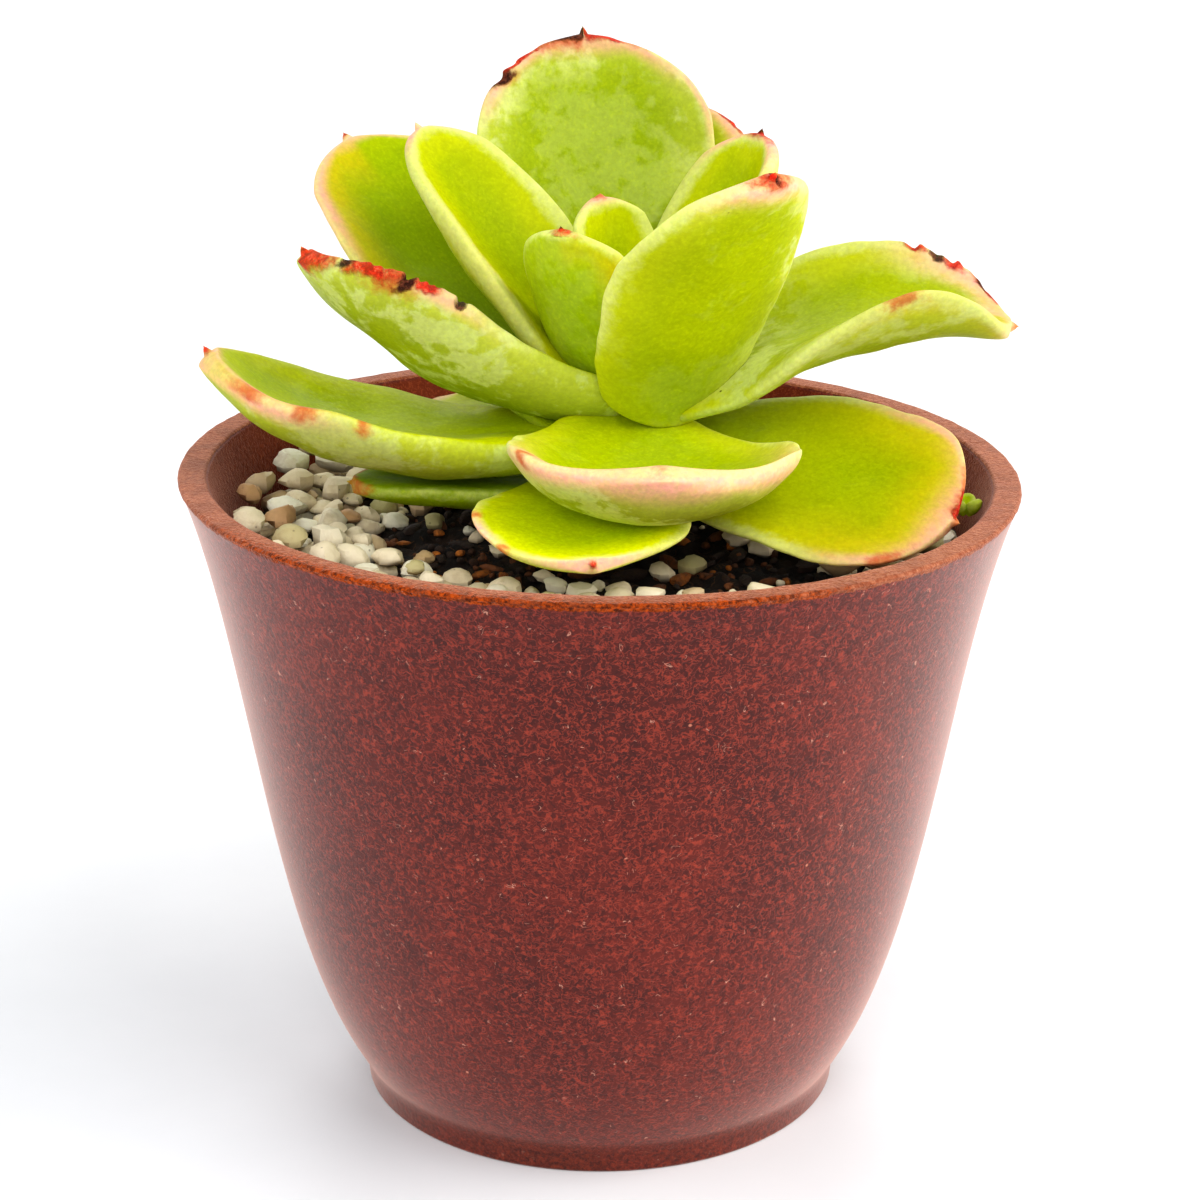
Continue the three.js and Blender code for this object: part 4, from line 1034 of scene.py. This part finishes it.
def add_large_pebbles(material):
    """A fine stone in the place and at the size of each pebble of the solid model."""
    rng = np.random.default_rng(5)
    rings, sides = 22, 30
    faces = tube_faces(rings, sides)
    for name, low, high in solid_pebbles():
        half = PEBBLE_SHARE / 2 * (high - low)
        points = stone_points(rng, half, rings, sides, flats=9)
        masks = {"tone": np.full(len(points), rng.uniform()), "darker_foot": foot_darkening(points, half)}
        points = points + (low + high) / 2
        stone = name.replace("pebble", "stone")
        add_piece(stone, points, faces, material, [name], masks, crease=34)


def scattered(rng, sizes, allowed, taken, squeeze=0.92, tries=60, reach=GRAVEL_REACH):
    """Places for round things of the given sizes, largest first, each tried at random until it
    is clear of the ones before: a list of x, y, size. allowed(x, y, chance) says whether a
    thing may lie there, given a fresh random number from 0 to 1."""
    placed = list(taken)
    found = []
    for size in sorted(sizes, reverse=True):
        for _ in range(tries):
            radius = reach * math.sqrt(rng.uniform())
            angle = rng.uniform(0, 2 * math.pi)
            x, y = radius * math.cos(angle), radius * math.sin(angle)
            if radius + size / 2 > reach or not allowed(x, y, rng.uniform()):
                continue
            near = np.array(placed)
            apart = np.hypot(near[:, 0] - x, near[:, 1] - y)
            if (apart > squeeze * (near[:, 2] + size) / 2).all():
                placed.append((x, y, size))
                found.append((x, y, size))
                break
    return found


def bare_patch(x, y):
    """How bare of gravel the bed is, 0 to 1: an oval of open soil round the front of the stem,
    and a thinner one to the right of it."""
    main = math.hypot((x + 7) / 25, (y + 5) / 21)
    side = math.hypot((x - 17) / 17, (y + 21) / 13)
    return float(max(smooth(-main, -1.08, -0.88), 0.85 * smooth(-side, -1.1, -0.8)))


def add_scatter(name, rng, places, material, height, flatness, stretch=(0.7, 0.95)):
    """Many small stones or chips as one piece, each with its own tone and turn. stretch and
    flatness are the ranges of width and height as shares of the length."""
    rings, sides = 6, 10
    single = tube_faces(rings, sides)
    points, faces, tones, darker_foot = [], [], [], []
    for x, y, size in places:
        half = np.array([size, size * rng.uniform(*stretch), size * rng.uniform(*flatness)]) / 2
        stone = stone_points(rng, half, rings, sides, flats=6)
        stone = turned_about_z(stone, rng.uniform(0, 2 * math.pi))
        darker_foot.append(foot_darkening(stone, half))
        start = sum(len(done) for done in points)
        points.append(stone + np.array([x, y, height(x, y) + half[2] * SETTLED]))
        faces += [[corner + start for corner in face] for face in single]
        tones.append(np.full(len(stone), rng.uniform()))
    masks = {"tone": np.concatenate(tones), "darker_foot": np.concatenate(darker_foot)}
    add_piece(name, np.vstack(points), faces, material, masks=masks, crease=38)


def ground(x, y):
    """Just under the top of the soil."""
    return soil_height(math.hypot(x, y)) - 0.3


def raised(lift):
    """The ground, raised by the same amount everywhere."""
    return lambda x, y: ground(x, y) + lift


def on_pile(x, y):
    """A bank that climbs by 3 mm towards the wall, in an S-curve of the radius."""
    return ground(x, y) + 2.4 + 3.0 * float(smooth(math.hypot(x, y), 40, 50))


def in_gravel(x, y, chance):
    """Anywhere but on the bare soil."""
    return bare_patch(x, y) < 0.5


def near_wall(x, y, chance):
    """The outer third, away from the bare soil."""
    return math.hypot(x, y) > 34 and bare_patch(x, y) < 0.3


def left_wall(x, y, chance):
    """Out near the wall, on the left."""
    return math.hypot(x, y) > 38 and x < -22 and y > -26


def in_soil(x, y, chance):
    """Everywhere on the bare soil, and here and there among the gravel."""
    return chance < 0.2 + bare_patch(x, y)


def on_soil(x, y, chance):
    """Only on the bare soil."""
    return bare_patch(x, y) > 0.4


def places_taken():
    """What the large pebbles and the stem take up of the bed: a list of x, y, size."""
    taken = []
    for _, low, high in solid_pebbles():
        middle = (low + high) / 2
        taken.append((middle[0], middle[1], max(high[0] - low[0], high[1] - low[1])))
    return taken + [(STEM_X, 0.0, 2 * STEM_RADIUS + 2)]


def add_gravel(rng, taken, stone):
    """Small stones between the large pebbles, a second layer of them on the first near the
    wall, and a pile at the left wall. Returns the places of the first layer."""
    only_middle = [(0, 0, 1)]  # these lie on the layer below, so nothing near them is in the way
    sizes = np.concatenate([rng.uniform(4.0, 5.4, 260), rng.uniform(2.0, 3.4, 200)])
    lower = scattered(rng, sizes, in_gravel, taken, squeeze=0.82)
    add_scatter("gravel_fill", rng, lower, stone, ground, (0.6, 0.8))
    upper = scattered(rng, rng.uniform(2.6, 4.6, 120), near_wall, only_middle, squeeze=1.35)
    add_scatter("gravel_top", rng, upper, stone, raised(2.6), (0.5, 0.62))
    sizes = rng.uniform(3.4, 6.2, 110)
    pile = scattered(rng, sizes, left_wall, only_middle, squeeze=0.98, reach=PILE_REACH)
    add_scatter("gravel_pile", rng, pile, stone, on_pile, (0.6, 0.8))
    return lower


def add_litter(rng, taken, lower, stone, bark):
    """Stray stones, bark chips, soil crumbs and perlite, mostly where the soil is bare."""
    strays = scattered(rng, rng.uniform(1.8, 4.6, 18), on_soil, taken + lower)
    add_scatter("gravel_strays", rng, strays, stone, ground, (0.55, 0.75))
    chips = scattered(rng, rng.uniform(1.6, 6.0, 150), in_soil, taken, squeeze=0.6)
    add_scatter("bark_chips", rng, chips, bark, ground, (0.2, 0.4), stretch=(0.18, 0.5))
    grit = scattered(rng, rng.uniform(0.7, 1.8, 260), in_soil, taken, squeeze=0.7)
    add_scatter("soil_crumbs", rng, grit, bark, raised(0.2), (0.6, 0.9))
    perlite = scattered(rng, rng.uniform(0.8, 1.7, 24), in_soil, taken, squeeze=0.7)
    add_scatter("perlite_grains", rng, perlite, stone, raised(0.6), (0.7, 0.9))


def add_bed_cover(stone, bark):
    """All the loose things on the soil, from one series of random draws."""
    rng = np.random.default_rng(11)
    taken = places_taken()
    lower = add_gravel(rng, taken, stone)
    add_litter(rng, taken, lower, stone, bark)


# ---- Stage, lights and camera ----------------------------------------------------------------


def add_stage():
    """A plain pale square floor."""
    corners = [(x * FLOOR_REACH, y * FLOOR_REACH, 0) for x, y in ((-1, -1), (1, -1), (1, 1), (-1, 1))]
    mesh = bpy.data.meshes.new("floor")
    mesh.from_pydata(corners, [], [(0, 1, 2, 3)])
    mesh.materials.append(floor_material())
    floor = bpy.data.objects.new("floor", mesh)
    bpy.context.scene.collection.objects.link(floor)


def aimed(name, data, location, target):
    """An object that looks at a target point."""
    made = bpy.data.objects.new(name, data)
    bpy.context.scene.collection.objects.link(made)
    made.location = location
    toward = np.array(target) - np.array(location)
    flat = math.hypot(toward[0], toward[1])
    made.rotation_euler = (math.pi / 2 + math.atan2(toward[2], flat), 0,
                           math.atan2(toward[1], toward[0]) - math.pi / 2)
    return made


def add_softbox(name, location, width, watts, target=PLANT_MIDDLE, tint=(1, 1, 1)):
    """A round light panel that faces a target."""
    light = bpy.data.lights.new(name, "AREA")
    light.shape = "DISK"
    light.size = width
    light.energy = watts
    light.color = tint
    aimed(name, light, location, target)


def add_lights():
    """A soft grey room with big round panels: above in front, on each side, behind, and one
    that shines down on the far floor."""
    add_softbox("key_light", (0.6, -0.6, 1.1), width=0.9, watts=6.0)
    add_softbox("front_light", (-0.2, -1.2, 0.8), width=1.0, watts=8.0)
    add_softbox("left_light", (-1.1, 0.0, 0.55), width=1.0, watts=3.6)
    add_softbox("right_light", (1.1, 0.0, 0.45), width=1.0, watts=9.0, tint=(1, 0.93, 0.86))
    add_softbox("back_light", (0.0, 2.4, 1.8), width=1.8, watts=14.0)
    add_softbox("far_light", (0.0, 1.5, 0.7), width=1.2, watts=5.0, target=(0.0, 1.49, 0.0))
    world = bpy.data.worlds.new("grey_room")
    world.use_nodes = True
    background = world.node_tree.nodes["Background"]
    background.inputs["Color"].default_value = (1, 1, 1, 1)
    background.inputs["Strength"].default_value = ROOM_LIGHT
    bpy.context.scene.world = world


def add_camera():
    """A long lens in front of the plant and above it, tilted down."""
    camera = bpy.data.cameras.new("camera")
    camera.lens = CAMERA_LENS
    camera.sensor_width = SENSOR_WIDTH
    made = bpy.data.objects.new("camera", camera)
    bpy.context.scene.collection.objects.link(made)
    made.location = CAMERA_PLACE
    made.rotation_euler = (CAMERA_TILT * DEGREE, 0, 0)
    bpy.context.scene.camera = made


# ---- The scene -------------------------------------------------------------------------------

stone = stone_material()
bark = bark_material()
add_camera()
add_lights()
add_stage()
add_pot(pot_material())
add_soil(soil_material())
add_stem(stem_material())
leaf_skin = leaf_material()
add_leaves(leaf_skin)
add_sprout(leaf_skin)
add_large_pebbles(stone)
add_bed_cover(stone, bark)
bpy.context.scene.view_settings.view_transform = "Standard"
bpy.context.scene.view_settings.look = "Medium High Contrast"
